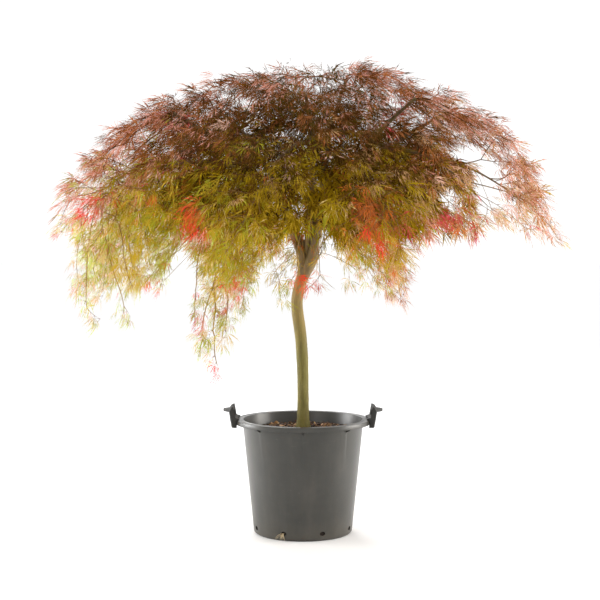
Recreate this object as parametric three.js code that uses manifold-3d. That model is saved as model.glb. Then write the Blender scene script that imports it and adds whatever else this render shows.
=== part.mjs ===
// A weeping laceleaf maple on a slender stem, standing in a round nursery container.
// Millimetres, +Z up, origin at the centre of the container's flat underside.
// The container's two handles lie on the X axis, and the crown hangs all the way round.

import * as THREE from 'three';
import { mergeVertices } from 'three/addons/utils/BufferGeometryUtils.js';
import Module from 'manifold-3d';

const wasm = await Module();
wasm.setup();

// ---------------------------------------------------------------- driving dimensions

const METRE = 1000;
const GAP = 0.35; // running gap between pieces that touch

const POT = {
  height: 382,
  baseRadius: 164,
  mouthRadius: 203,
  rimRadius: 225,
  wall: 3.5,
  floor: 5,
  footChamfer: 7,
  rimLip: 15, // how far the rim's outer edge turns down
  sides: 36,
};

const HOLE = { count: 8, height: 25, radius: 7, stretch: 1.4, depth: 40, sides: 10 };
const GUSSET = { height: 26, thickness: 4, reach: 17 };

const HANDLE = {
  halfWidth: 52, // along the rim
  fingerHalfWidth: 36,
  fingerBottom: 9, // the finger gap, above the rim
  fingerTop: 27,
  lipRoot: 13, // the grip's outer lip: where it starts, out from the rim's edge
  lipReach: 29, // and how far it stands out at its middle
  lipInset: 8, // shorter than the grip at each end
  lipBottom: 27,
  lipThickness: 8,
  steps: 6,
};

// The clip that leans out from the rim's edge: distances out from the edge and up from the rim.
const HANDLE_SECTION = [
  [0, -24],
  [0, GAP],
  [-8, GAP],
  [-8, 6],
  [5, 9],
  [12, 46],
  [17, 45],
  [25, 31],
  [15, -24],
];

const SOIL = { edgeDepth: 40, crownDepth: 34, flatRadius: 60 }; // depths below the rim

const TRUNK = {
  sides: 12,
  segments: 14,
  footRadius: 27,
  stemRadius: 18.5,
  headRadius: 20,
  flareHeight: 70,
  forkHeight: 950,
  depthSway: 1.5,
};

// The stem's sideways sway: a height and how far its centre line is from the axis there.
const STEM_SWAY = [
  [335, 0],
  [520, 0],
  [650, -6],
  [780, -20],
  [850, -4],
  [905, 16],
  [950, 10],
];

const CROWN = {
  middle: 900, // height where the umbrella's side is upright
  rise: 694, // from there to the top
  radius: 841,
  sideStretch: 33, // wider along X than along Y
  wander: 9,
  tuck: 0.12, // how far the hanging skirt draws in for each metre it falls
};

const BOUGH = {
  count: 8,
  footRadius: 13,
  tipRadius: 6.5,
  sides: 6,
  segments: 6,
  spread: 0.42, // the share of the umbrella where a bough ends
  sink: 38, // how deep its end lies in the crown
  stemInset: 8,
  lowShare: 0.9, // where along the stem every second bough starts
  highShare: 0.98,
  knee: { out: 0.2, up: 0.42, aside: 14 }, // shares of the bough's reach and rise
  elbow: { out: 0.58, up: 0.78, aside: -18 },
};

const ARM = {
  footRadius: 8,
  tipRadius: 4,
  sides: 5,
  segments: 5,
  arch: 0.1, // rise of its middle, as a share of its length
  skirtHeight: 1030, // where an arm meets the skirt's masses
  curtainHeight: 1060, // and the curtains nearer the stem
  sink: 26, // how deep its end lies in the mass
};

const PAD = { around: 16, across: 4, tooth: 0.13, lumps: [0.07, 0.05], dimple: 0.22, square: 0.16 };
const TOP = { firstAzimuth: 20, spread: 48, top: 0.02, bottom: 0.49, thickness: 40 };
const SHOULDER = { firstAzimuth: 6, spread: 23, top: 0.39, bottom: 0.82, thickness: 42 };
const SKIRT = { firstAzimuth: 0, spread: 17, top: 0.73, thickness: 34 };
const CURTAIN = { thickness: 38, narrowing: 0.55, thinning: 0.4, billow: 60 };

// How far each upper mass stands above the umbrella, going round from +X towards +Y.
const TOP_LIFTS = [24, 0, -22, 12];
const SHOULDER_LIFTS = [46, 18, 4, 10, 6, 12, 0, 36];

// How low each part of the skirt hangs, going round the same way.
const SKIRT_BOTTOMS = [905, 870, 780, 750, 790, 760, 665, 900, 915, 930];

// Curtains that hang nearer the stem: azimuth, distance out, half width, top and bottom.
const CURTAINS = [
  [234, 430, 115, 1140, 560],
  [272, 330, 75, 1100, 790],
  [308, 430, 110, 1140, 745],
  [62, 450, 120, 1140, 780],
  [118, 450, 120, 1140, 720],
];

const COLOURS = {
  plastic: '#3f403d',
  soil: '#4a3426',
  bark: '#6d6430',
  bronze: '#7c5148',
  green: '#76822a',
};

// ---------------------------------------------------------------- solids and meshes

function withoutFlatTriangles(index) {
  const kept = [];
  for (let i = 0; i < index.length; i += 3) {
    const [a, b, c] = [index[i], index[i + 1], index[i + 2]];
    if (a !== b && b !== c && c !== a) kept.push(a, b, c);
  }
  return Uint32Array.from(kept);
}

function solidOf(geometry) {
  const bare = geometry.clone();
  bare.deleteAttribute('normal');
  bare.deleteAttribute('uv');
  const merged = mergeVertices(bare, 1e-3);
  const mesh = new wasm.Mesh({
    numProp: 3,
    vertProperties: Float32Array.from(merged.attributes.position.array),
    triVerts: withoutFlatTriangles(merged.index.array),
  });
  return new wasm.Manifold(mesh);
}

function geometryOf(solid) {
  const mesh = solid.getMesh();
  const geometry = new THREE.BufferGeometry();
  geometry.setAttribute('position', new THREE.BufferAttribute(mesh.vertProperties, 3));
  geometry.setIndex(new THREE.BufferAttribute(mesh.triVerts, 1));
  geometry.computeVertexNormals();
  return geometry;
}

function largestBody(solid) {
  return solid.decompose().reduce((best, body) => (body.volume() > best.volume() ? body : best));
}

function cutBy(solid, blockers) {
  return largestBody(blockers.reduce((left, blocker) => left.subtract(blocker), solid));
}

function extruded(corners, depth, steps = 1) {
  const outline = new THREE.Shape(corners.map(([x, y]) => new THREE.Vector2(x, y)));
  const geometry = new THREE.ExtrudeGeometry(outline, { depth, steps, bevelEnabled: false });
  geometry.translate(0, 0, -depth / 2);
  geometry.rotateX(Math.PI / 2);
  return geometry;
}

function material(colour, roughness) {
  return new THREE.MeshStandardMaterial({ color: colour, roughness, metalness: 0 });
}

const PLASTIC = material(COLOURS.plastic, 0.45);
const EARTH = material(COLOURS.soil, 0.95);
const BARK = material(COLOURS.bark, 0.8);
const BRONZE_LEAF = material(COLOURS.bronze, 0.7);
const GREEN_LEAF = material(COLOURS.green, 0.7);

const plant = new THREE.Group();

function addNode(name, solid, surface) {
  const mesh = new THREE.Mesh(geometryOf(solid), surface);
  mesh.name = name;
  plant.add(mesh);
}

function lathe(points, sides) {
  const profile = points.map(([radius, height]) => new THREE.Vector2(radius, height));
  const geometry = new THREE.LatheGeometry(profile, sides);
  geometry.rotateX(Math.PI / 2);
  return solidOf(geometry);
}

// ---------------------------------------------------------------- container

function wallRadius(height) {
  const share = height / POT.height;
  return THREE.MathUtils.lerp(POT.baseRadius, POT.mouthRadius, share);
}

function potShell() {
  const flange = POT.wall;
  const top = POT.height;
  return lathe(
    [
      [0, 0],
      [POT.baseRadius - POT.footChamfer, 0],
      [wallRadius(POT.footChamfer), POT.footChamfer],
      [wallRadius(top - flange), top - flange],
      [POT.rimRadius - flange, top - flange],
      [POT.rimRadius - flange, top - POT.rimLip],
      [POT.rimRadius, top - POT.rimLip],
      [POT.rimRadius, top],
      [POT.mouthRadius - POT.wall, top],
      [wallRadius(POT.floor) - POT.wall, POT.floor],
      [0, POT.floor],
    ],
    POT.sides,
  );
}

function drainageHole(azimuth) {
  const drill = new THREE.CylinderGeometry(HOLE.radius, HOLE.radius, HOLE.depth, HOLE.sides);
  drill.scale(HOLE.stretch, 1, 1);
  drill.translate(0, wallRadius(HOLE.height), HOLE.height);
  drill.rotateZ(azimuth);
  return solidOf(drill);
}

// A thin triangular rib in the corner under the rim.
function gusset(azimuth) {
  const top = POT.height - POT.wall / 2;
  const foot = top - GUSSET.height;
  const inner = wallRadius(top) - POT.wall / 2;
  const outer = inner + GUSSET.reach;
  const corners = [
    [inner, top],
    [wallRadius(foot) - POT.wall / 2, foot],
    [outer, top - POT.rimLip],
    [outer, top],
  ];
  return solidOf(extruded(corners, GUSSET.thickness).rotateZ(azimuth));
}

function pot() {
  let shell = potShell();
  for (let i = 0; i < HOLE.count; i += 1) {
    shell = shell.subtract(drainageHole(((i + 0.5) * 2 * Math.PI) / HOLE.count));
  }
  for (let i = 0; i < HOLE.count; i += 1) {
    const underHandle = i % (HOLE.count / 2) === 0;
    if (!underHandle) shell = shell.add(gusset((i * 2 * Math.PI) / HOLE.count));
  }
  return shell;
}

// The handle's upright plate: a clip over the rim's edge, leaning out to a raised grip.
function handlePlate() {
  const edge = POT.rimRadius + GAP;
  const corners = HANDLE_SECTION.map(([out, up]) => [edge + out, POT.height + up]);
  return bentRound(extruded(corners, 2 * HANDLE.halfWidth, HANDLE.steps), POT.rimRadius);
}

// Bends a plate that stands along Y into an arc about the Z axis.
function bentRound(geometry, radius) {
  const place = geometry.attributes.position;
  for (let i = 0; i < place.count; i += 1) {
    const reach = place.getX(i);
    const angle = place.getY(i) / radius;
    place.setXY(i, reach * Math.cos(angle), reach * Math.sin(angle));
  }
  return geometry;
}

function handleLip() {
  const root = POT.rimRadius + HANDLE.lipRoot;
  const half = HANDLE.halfWidth - HANDLE.lipInset;
  const outline = new THREE.Shape();
  outline.moveTo(root, -half);
  outline.quadraticCurveTo(root + 2 * HANDLE.lipReach, 0, root, half);
  const lip = new THREE.ExtrudeGeometry(outline, {
    depth: HANDLE.lipThickness,
    bevelEnabled: false,
    curveSegments: HANDLE.steps,
  });
  lip.translate(0, 0, POT.height + HANDLE.lipBottom);
  return solidOf(lip);
}

function fingerGap() {
  const height = HANDLE.fingerTop - HANDLE.fingerBottom;
  const gap = new THREE.BoxGeometry(POT.rimRadius, 2 * HANDLE.fingerHalfWidth, height);
  gap.translate(POT.rimRadius, 0, POT.height + HANDLE.fingerBottom + height / 2);
  return solidOf(gap);
}

function handle(turned) {
  const shape = solidOf(handlePlate()).subtract(fingerGap()).add(handleLip());
  return turned ? shape.rotate([0, 0, 180]) : shape;
}

const groundHeight = POT.height - SOIL.crownDepth; // the flat top of the compost

function soil() {
  const inside = POT.wall + GAP;
  const bottom = POT.floor + GAP;
  const edge = POT.height - SOIL.edgeDepth;
  return lathe(
    [
      [0, bottom],
      [wallRadius(bottom) - inside, bottom],
      [wallRadius(edge) - inside, edge],
      [SOIL.flatRadius, groundHeight],
      [0, groundHeight],
    ],
    POT.sides,
  );
}

// ---------------------------------------------------------------- limbs

// A closed tapering limb along a curve; radiusAt gives its radius for a share of its length.
function limb(curve, radiusAt, sides, segments) {
  const geometry = new THREE.CylinderGeometry(1, 1, 1, sides, segments);
  const frames = curve.computeFrenetFrames(segments, false);
  const place = geometry.attributes.position;
  for (let i = 0; i < place.count; i += 1) {
    const share = place.getY(i) + 0.5;
    const ring = Math.round(share * segments);
    const radius = radiusAt(share);
    const across = new THREE.Vector3().crossVectors(frames.normals[ring], frames.tangents[ring]);
    const point = curve
      .getPointAt(share)
      .addScaledVector(frames.normals[ring], place.getX(i) * radius)
      .addScaledVector(across, place.getZ(i) * radius);
    place.setXYZ(i, point.x, point.y, point.z);
  }
  return solidOf(geometry);
}

function taper(footRadius, tipRadius, extra = 0) {
  return (share) => THREE.MathUtils.lerp(footRadius, tipRadius, share) + extra;
}

const stemCurve = new THREE.CatmullRomCurve3(
  STEM_SWAY.map(([height, sway], i) => {
    const depth = -TRUNK.depthSway * i * (STEM_SWAY.length - 1 - i);
    return new THREE.Vector3(sway, depth, height);
  }),
);

// The stem, cut flat where it stands on the ground.
function trunk(extra = 0) {
  const length = TRUNK.forkHeight - groundHeight;
  const radiusAt = (share) => {
    const flare = Math.exp((-share * length) / (TRUNK.flareHeight / 2));
    const stem = THREE.MathUtils.lerp(TRUNK.stemRadius, TRUNK.headRadius, share);
    return stem + flare * (TRUNK.footRadius - TRUNK.stemRadius) + extra;
  };
  const block = 4 * TRUNK.footRadius;
  const below = new THREE.BoxGeometry(block, block, block);
  below.translate(0, 0, groundHeight + GAP - block / 2);
  return limb(stemCurve, radiusAt, TRUNK.sides, TRUNK.segments).subtract(solidOf(below));
}

// ---------------------------------------------------------------- the umbrella of the crown

// The umbrella's surface: share 0 is its top, 1 its widest height, and beyond 1 it hangs.
function umbrella(azimuth, share, depth = 0) {
  const reach = crownRadius(azimuth);
  const angle = Math.min(share, 1) * (Math.PI / 2);
  const hang = Math.max(share - 1, 0);
  const radius = (reach - depth) * Math.sin(angle) - CROWN.tuck * hang * reach;
  const height = CROWN.middle + (CROWN.rise - depth) * Math.cos(angle) - hang * METRE;
  return new THREE.Vector3(radius * Math.cos(azimuth), radius * Math.sin(azimuth), height);
}

function crownRadius(azimuth) {
  const oval = CROWN.sideStretch * Math.cos(2 * azimuth);
  return CROWN.radius + oval + CROWN.wander * Math.cos(5 * azimuth + 1);
}

// The share of the umbrella that lies at a given height on its side.
function shareAtHeight(height) {
  if (height < CROWN.middle) return 1 + (CROWN.middle - height) / METRE;
  return Math.acos((height - CROWN.middle) / CROWN.rise) / (Math.PI / 2);
}

// How far a cushion's outline reaches at one turn round it: squarish, lumpy, ragged below.
function outlineReach(turn, v, seed) {
  const [broad, fine] = PAD.lumps;
  const lumps = broad * Math.sin(2 * turn + seed) + fine * Math.sin(3 * turn + 2.3 * seed);
  const square = PAD.square * Math.abs(Math.sin(2 * turn));
  const step = Math.round((turn / (2 * Math.PI)) * PAD.around);
  const tooth = step % 2 === 0 ? PAD.tooth : -PAD.tooth;
  const lower = v > 0.1;
  return 1 + square + lumps + (lower ? tooth * v : 0);
}

// A foliage mass: a thin closed cushion with an uneven outline and a ragged lower edge.
// place(u, v, w) puts the cushion's own coordinates, each from -1 to 1, in space.
function cushion(place, seed, grow) {
  const geometry = new THREE.SphereGeometry(1, PAD.around, PAD.across);
  const spot = geometry.attributes.position;
  for (let i = 0; i < spot.count; i += 1) {
    const [u, v, w] = [-spot.getX(i), spot.getZ(i), -spot.getY(i)];
    const spread = outlineReach(Math.atan2(v, u), v, seed) * (1 + grow);
    const dimple = 1 + PAD.dimple * Math.sin(3.1 * u + seed) * Math.cos(2.7 * v + 1.4 * seed);
    const thick = dimple * (1 + 6 * grow);
    const point = place(u * spread, v * spread, w * thick);
    spot.setXYZ(i, point.x, point.y, point.z);
  }
  return solidOf(geometry);
}

const radians = THREE.MathUtils.degToRad;

// Places a mass on the umbrella between two shares of it, round an azimuth. Its upper edge
// lies deeper than its lower edge, as shingles do.
function umbrellaPad({ azimuth, spread, top, bottom, thickness, lift = 0 }) {
  return (u, v, w) => {
    const share = THREE.MathUtils.lerp(top, bottom, (v + 1) / 2);
    const shingle = -0.3 * thickness * v;
    const depth = thickness * (1 - w) + shingle - lift;
    return umbrella(azimuth + u * spread, Math.max(share, 0.01), depth);
  };
}

// Places a mass that hangs inside the umbrella like a curtain, facing away from the stem.
function hangingPad({ azimuth, radius, halfWidth, top, bottom }) {
  return (u, v, w) => {
    const fall = (v + 1) / 2;
    const width = halfWidth * (1 - CURTAIN.narrowing * fall ** 2);
    const thick = CURTAIN.thickness * (1 - CURTAIN.thinning * fall);
    const reach = radius + CURTAIN.billow * Math.sin(fall * 1.8) + w * thick;
    const side = u * width;
    return new THREE.Vector3(
      reach * Math.cos(azimuth) - side * Math.sin(azimuth),
      reach * Math.sin(azimuth) + side * Math.cos(azimuth),
      THREE.MathUtils.lerp(top, bottom, fall),
    );
  };
}

// One ring of masses, evenly spaced; changes(value, i) gives what is each mass's own.
function ringOfMasses(title, values, ring, leaf, changes) {
  return values.map((value, i) => ({
    name: `foliage_${title}_${i + 1}`,
    place: umbrellaPad({
      ...ring,
      azimuth: radians(ring.firstAzimuth + (360 * i) / values.length),
      spread: radians(ring.spread),
      ...changes(value, i),
    }),
    leaf,
  }));
}

function topMasses() {
  return ringOfMasses('top', TOP_LIFTS, TOP, BRONZE_LEAF, (lift) => ({ lift }));
}

function shoulderMasses() {
  return ringOfMasses('shoulder', SHOULDER_LIFTS, SHOULDER, BRONZE_LEAF, (lift, i) => ({
    lift,
    bottom: SHOULDER.bottom + 0.03 * Math.sin(2.6 * i),
  }));
}

function skirtMasses() {
  return ringOfMasses('skirt', SKIRT_BOTTOMS, SKIRT, GREEN_LEAF, (height) => ({
    bottom: shareAtHeight(height),
  }));
}

function curtainMasses() {
  return CURTAINS.map(([azimuth, radius, halfWidth, top, bottom], i) => ({
    name: `foliage_curtain_${i + 1}`,
    place: hangingPad({ azimuth: radians(azimuth), radius, halfWidth, top, bottom }),
    leaf: GREEN_LEAF,
  }));
}

// ---------------------------------------------------------------- boughs

// A bough climbs steeply from the head of the stem and spreads until it is inside the crown.
function boughCurve(azimuth, lean, stemShare) {
  const out = new THREE.Vector3(Math.cos(azimuth), Math.sin(azimuth), 0);
  const side = new THREE.Vector3(-out.y, out.x, 0);
  const start = stemCurve.getPointAt(stemShare).addScaledVector(out, BOUGH.stemInset);
  const end = umbrella(azimuth, BOUGH.spread + lean, BOUGH.sink);
  const rise = end.z - start.z;
  const reach = Math.hypot(end.x, end.y);
  const along = (bend, turn, lift) => {
    const point = start.clone().addScaledVector(out, bend.out * reach);
    point.addScaledVector(side, bend.aside * Math.sin(turn));
    point.z += (bend.up + lift) * rise;
    return point;
  };
  const knee = along(BOUGH.knee, 3 * azimuth, lean);
  const elbow = along(BOUGH.elbow, 2 * azimuth + 1, 0);
  return new THREE.CatmullRomCurve3([start, knee, elbow, end]);
}

// An arm leaves its bough part way up and runs out under the crown into its own mass.
function armCurve(bough, share, end) {
  const start = bough.getPointAt(share);
  const middle = start.clone().lerp(end, 0.5);
  middle.z += ARM.arch * start.distanceTo(end);
  return new THREE.CatmullRomCurve3([start, middle, end]);
}

function boughs() {
  return Array.from({ length: BOUGH.count }, (_, i) => {
    const azimuth = radians((360 * i) / BOUGH.count + 8 * Math.sin(2.1 * i));
    const stemShare = i % 2 ? BOUGH.lowShare : BOUGH.highShare;
    const curve = boughCurve(azimuth, 0.05 * Math.sin(1.7 * i), stemShare);
    return { name: `bough_${i + 1}`, curve, size: BOUGH };
  });
}

function topBough() {
  const curve = new THREE.CatmullRomCurve3([
    stemCurve.getPointAt(BOUGH.highShare),
    new THREE.Vector3(60, 25, 1130),
    new THREE.Vector3(85, -15, 1320),
    umbrella(radians(8), 0.12, BOUGH.sink),
  ]);
  return { name: 'bough_top', curve, size: BOUGH };
}

// The bough whose azimuth is nearest to a share of the whole turn.
function nearestBough(carriers, turn) {
  return carriers[Math.round(turn * carriers.length) % carriers.length];
}

function skirtArms(carriers) {
  return SKIRT_BOTTOMS.map((_, i) => {
    const turn = i / SKIRT_BOTTOMS.length;
    const azimuth = radians(360 * turn + 5 * Math.sin(1.9 * i));
    const height = ARM.skirtHeight + 45 * Math.sin(2.4 * i);
    const end = umbrella(azimuth, shareAtHeight(height), ARM.sink);
    const share = 0.62 + 0.06 * Math.sin(3 * i);
    const curve = armCurve(nearestBough(carriers, turn).curve, share, end);
    return { name: `arm_skirt_${i + 1}`, curve, size: ARM };
  });
}

function curtainArms(carriers) {
  return CURTAINS.map(([azimuth, radius], i) => {
    const reach = radius + CURTAIN.billow / 3;
    const end = new THREE.Vector3(reach, 0, ARM.curtainHeight);
    end.applyAxisAngle(new THREE.Vector3(0, 0, 1), radians(azimuth));
    const curve = armCurve(nearestBough(carriers, azimuth / 360).curve, 0.38, end);
    return { name: `arm_curtain_${i + 1}`, curve, size: ARM };
  });
}

function limbsOfCrown() {
  const carriers = boughs();
  return [...carriers, topBough(), ...skirtArms(carriers), ...curtainArms(carriers)];
}

// ---------------------------------------------------------------- assembly

addNode('pot', pot(), PLASTIC);
addNode('handle_right', handle(false), PLASTIC);
addNode('handle_left', handle(true), PLASTIC);
addNode('soil', soil(), EARTH);
addNode('trunk', trunk(), BARK);

// Masses are laid from the lowest up, each cut back by those already there.
const GROWN = 0.004; // how much larger a mass counts as when its neighbour is cut by it
const taken = [];
const masses = [...curtainMasses(), ...skirtMasses(), ...shoulderMasses(), ...topMasses()];
masses.forEach(({ name, place, leaf }, i) => {
  addNode(name, cutBy(cushion(place, i, 0), taken), leaf);
  taken.push(cushion(place, i, GROWN));
});

// Limbs end where they enter a mass, and an arm starts at the skin of its bough.
const wood = [trunk(GAP)];
limbsOfCrown().forEach(({ name, curve, size }) => {
  const whole = limb(curve, taper(size.footRadius, size.tipRadius), size.sides, size.segments);
  addNode(name, cutBy(whole, [...wood, ...taken]), BARK);
  const grown = taper(size.footRadius, size.tipRadius, GAP);
  wood.push(limb(curve, grown, size.sides, size.segments));
});

export default plant;
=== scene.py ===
# %% [markdown]
# # A weeping laceleaf maple in a nursery container
#
# A weeping maple is a short clear stem with an umbrella of boughs on top. The boughs arch over
# and hang, and every twig ends in a spray of finely cut leaves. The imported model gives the
# frame: a container, a stem, boughs, arms and plain cushions where the foliage is. This lesson
# keeps that frame and makes the looks: moulded plastic, compost, bark, and a crown that grows.
# First the frame is loaded, and the box it fills is kept, because the looks must stay in it.

# %% Load the frame
import math
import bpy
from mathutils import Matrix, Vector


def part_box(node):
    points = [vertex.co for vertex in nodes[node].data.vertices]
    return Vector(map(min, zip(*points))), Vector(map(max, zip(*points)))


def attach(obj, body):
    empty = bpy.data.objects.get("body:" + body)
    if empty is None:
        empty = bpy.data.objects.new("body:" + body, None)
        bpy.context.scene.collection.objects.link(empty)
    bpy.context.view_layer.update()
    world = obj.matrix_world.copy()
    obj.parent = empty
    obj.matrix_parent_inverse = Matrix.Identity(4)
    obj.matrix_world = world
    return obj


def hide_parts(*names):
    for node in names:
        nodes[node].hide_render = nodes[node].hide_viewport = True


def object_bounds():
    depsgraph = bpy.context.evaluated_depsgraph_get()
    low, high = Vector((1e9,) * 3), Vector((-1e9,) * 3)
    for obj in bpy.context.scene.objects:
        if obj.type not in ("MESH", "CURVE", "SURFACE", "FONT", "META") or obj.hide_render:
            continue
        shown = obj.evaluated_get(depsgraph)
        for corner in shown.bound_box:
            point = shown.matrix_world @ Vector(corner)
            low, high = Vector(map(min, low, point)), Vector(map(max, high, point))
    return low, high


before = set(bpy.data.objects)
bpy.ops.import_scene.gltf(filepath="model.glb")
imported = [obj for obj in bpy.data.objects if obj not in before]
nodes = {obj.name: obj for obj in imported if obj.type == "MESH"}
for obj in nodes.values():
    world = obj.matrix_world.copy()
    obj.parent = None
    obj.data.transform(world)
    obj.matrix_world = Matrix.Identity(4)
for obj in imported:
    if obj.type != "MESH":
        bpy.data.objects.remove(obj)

from types import SimpleNamespace

import bmesh
import bpy
import numpy as np
from mathutils import Matrix, Vector, noise
from mathutils.bvhtree import BVHTree

cad_low, cad_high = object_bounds()
scene = bpy.context.scene
UP = np.array([0.0, 0.0, 1.0])
print("frame:", len(nodes), "nodes,", [round(v, 3) for v in cad_high - cad_low], "m")

# %% [markdown]
# ## The viewpoint
#
# The crown is open in places where the sky shows straight through it, and its lower edge has
# bays and hanging points. Both are judged from one standing place, so the camera comes first.
# It stands about five metres off, a little above the container, and looks slightly down. A long
# lens keeps the container's sides nearly upright.

# %% Camera
EYE = Vector((-0.010, -4.97, 1.054))
EYE_PITCH = math.radians(3.15)  # downwards
LENS = 89.5

camera_data = bpy.data.cameras.new("studio_camera")
camera_data.lens = LENS
camera_data.sensor_width = 36
camera = bpy.data.objects.new("studio_camera", camera_data)
camera.location = EYE
camera.rotation_euler = (math.pi / 2 - EYE_PITCH, 0, 0)
scene.collection.objects.link(camera)
scene.camera = camera


def seen_at(points):
    """Where points appear on the upright plane through the stem: their x and z there."""
    scale = -EYE.y / (points[:, 1] - EYE.y)
    return EYE.x + (points[:, 0] - EYE.x) * scale, EYE.z + (points[:, 2] - EYE.z) * scale


print("camera", round(-EYE.y, 2), "m in front of the stem")

# %% [markdown]
# ## Tools for finishes
#
# A finish is a graph of shader nodes. Written one node at a time it is long and hard to read,
# so two small classes help. A Flow wraps a node's output, and arithmetic on it adds Math nodes.
# A Finish holds one material and makes any other node with one call.

# %% Shader arithmetic
BLACK = (0, 0, 0, 1)
WHITE = (1, 1, 1, 1)


class Flow:
    """A node's output that can be used in Python arithmetic."""

    def __init__(self, finish, socket):
        self.finish = finish
        self.socket = socket

    def math(self, operation, first, second):
        inputs = {0: first, 1: second}
        return self.finish.node("ShaderNodeMath", {"operation": operation}, inputs)

    def __add__(self, other):
        return self.math("ADD", self, other)

    def __mul__(self, other):
        return self.math("MULTIPLY", self, other)

    def __sub__(self, other):
        return self.math("SUBTRACT", self, other)

    def __rsub__(self, other):
        return self.math("SUBTRACT", other, self)

    __radd__ = __add__
    __rmul__ = __mul__


def colour(red, green, blue):
    """A colour given as 0 to 255, as the shader's linear values."""
    def linear(value):
        share = value / 255
        return share / 12.92 if share <= 0.04045 else ((share + 0.055) / 1.055) ** 2.4

    return (linear(red), linear(green), linear(blue), 1.0)


class Finish:
    """A material: its node tree and its Principled shader."""

    def __init__(self, name, **constants):
        self.material = bpy.data.materials.new(name)
        self.material.use_nodes = True
        self.tree = self.material.node_tree
        self.shader = self.tree.nodes["Principled BSDF"]
        for socket, value in constants.items():
            self.shader.inputs[socket.replace("_", " ")].default_value = value

    def node(self, kind, settings, inputs, output=0):
        """A node of one kind: its settings first, then the values or flows of its sockets."""
        made = self.tree.nodes.new(kind)
        for key, value in settings.items():
            if key == "stops":
                self.set_stops(made.color_ramp, value)
            else:
                setattr(made, key, value)
        for key, value in inputs.items():
            if isinstance(value, Flow):
                self.tree.links.new(value.socket, made.inputs[key])
            else:
                made.inputs[key].default_value = value
        return Flow(self, made.outputs[output])

    def set_stops(self, ramp, stops):
        while len(ramp.elements) < len(stops):
            ramp.elements.new(0.5)
        for element, (position, shade) in zip(ramp.elements, stops):
            element.position = position
            element.color = shade

    def ramp(self, flow, *stops):
        return self.node("ShaderNodeValToRGB", {"stops": stops}, {"Fac": flow})

    def mix(self, share, first, second):
        """Mixes two colours by a flow that goes from 0 to 1."""
        inputs = {"Factor": share, 6: first, 7: second}
        return self.node("ShaderNodeMix", {"data_type": "RGBA"}, inputs, 2)

    def place(self, scale):
        """The point on the object, with each axis scaled, for patterns in metres."""
        point = self.node("ShaderNodeTexCoord", {}, {}, "Object")
        return self.node("ShaderNodeMapping", {}, {"Vector": point, "Scale": scale})

    def noise(self, scale, grain=(1, 1, 1), detail=4.0, roughness=0.6):
        inputs = {"Scale": scale, "Detail": detail, "Roughness": roughness}
        return self.node("ShaderNodeTexNoise", {}, {"Vector": self.place(grain), **inputs})

    def height(self, low, high):
        """0 at one height above the ground and 1 at another."""
        point = self.node("ShaderNodeTexCoord", {}, {}, "Object")
        upwards = self.node("ShaderNodeSeparateXYZ", {}, {"Vector": point}, "Z")
        inputs = {"Value": upwards, "From Min": low, "From Max": high}
        return self.node("ShaderNodeMapRange", {}, inputs)

    def bump(self, flow, distance, strength=1.0):
        inputs = {"Height": flow, "Distance": distance, "Strength": strength}
        self.wear(Normal=self.node("ShaderNodeBump", {}, inputs))

    def wear(self, **flows):
        """Links flows to the shader's sockets."""
        for socket, flow in flows.items():
            self.tree.links.new(flow.socket, self.shader.inputs[socket.replace("_", " ")])


print("shader tools ready")

# %% [markdown]
# ## Tools for pieces
#
# Every new piece is an object at the origin with its place in its mesh. It rides on the
# model's one body, takes its finish from a named slot, and stands for the plain solids that it
# replaces. Shapes are modelled in a bmesh, and this helper turns one into such a piece.

# %% Piece helpers


def add_piece(name, mesh, finishes, replaced=()):
    """Puts a mesh in the scene as a finished piece of the plant or its container."""
    piece = bpy.data.objects.new(name, mesh)
    scene.collection.objects.link(piece)
    for finish in finishes:
        mesh.materials.append(finish.material)
    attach(piece, "root")
    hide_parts(*replaced)
    mesh.calc_loop_triangles()
    print(f"{name}: {len(mesh.loop_triangles)} triangles")


def mesh_from(shape, name, sharp_degrees=40):
    """Makes a smooth-shaded mesh of a bmesh, and keeps edges over an angle sharp."""
    bmesh.ops.recalc_face_normals(shape, faces=shape.faces)
    mesh = bpy.data.meshes.new(name)
    shape.to_mesh(mesh)
    shape.free()
    mesh.shade_smooth()
    mesh.set_sharp_from_angle(angle=math.radians(sharp_degrees))
    return mesh


def spun(corners, steps):
    """A closed round shape: an outline of radii and heights, turned about the Z axis."""
    shape = bmesh.new()
    points = [shape.verts.new((radius, 0, height)) for radius, height in corners]
    outline = [shape.edges.new(pair) for pair in zip(points, points[1:])]
    bmesh.ops.spin(
        shape, geom=points + outline, cent=(0, 0, 0), axis=(0, 0, 1), dvec=(0, 0, 0),
        angle=math.tau, steps=steps, use_merge=True, use_duplicate=False,
    )
    bmesh.ops.remove_doubles(shape, verts=shape.verts, dist=1e-6)
    return shape


def bevel_edges(shape, edges, width, segments):
    bmesh.ops.bevel(
        shape, geom=edges, offset=width, segments=segments, profile=0.5,
        affect="EDGES", material=-1, clamp_overlap=True,
    )


def round_edges(shape, width, over_degrees):
    """Rounds the edges whose faces meet at more than an angle."""
    limit = math.radians(over_degrees)
    sharp = [e for e in shape.edges if e.is_manifold and e.calc_face_angle() > limit]
    bevel_edges(shape, sharp, width, 3)


def combined(mesh, operation, tool):
    """A mesh cut or joined by the closed shape in a tool bmesh."""
    bmesh.ops.recalc_face_normals(tool, faces=tool.faces)
    tool_mesh = bpy.data.meshes.new("tool")
    tool.to_mesh(tool_mesh)
    tool.free()
    body = bpy.data.objects.new("body", mesh)
    cutter = bpy.data.objects.new("cutter", tool_mesh)
    scene.collection.objects.link(body)
    scene.collection.objects.link(cutter)
    modifier = body.modifiers.new("combine", "BOOLEAN")
    modifier.object = cutter
    modifier.operation = operation
    modifier.solver = "EXACT"
    made = bpy.data.meshes.new_from_object(body.evaluated_get(
        bpy.context.evaluated_depsgraph_get()))
    bpy.data.objects.remove(body)
    bpy.data.objects.remove(cutter)
    return made


print("piece helpers ready")

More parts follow.
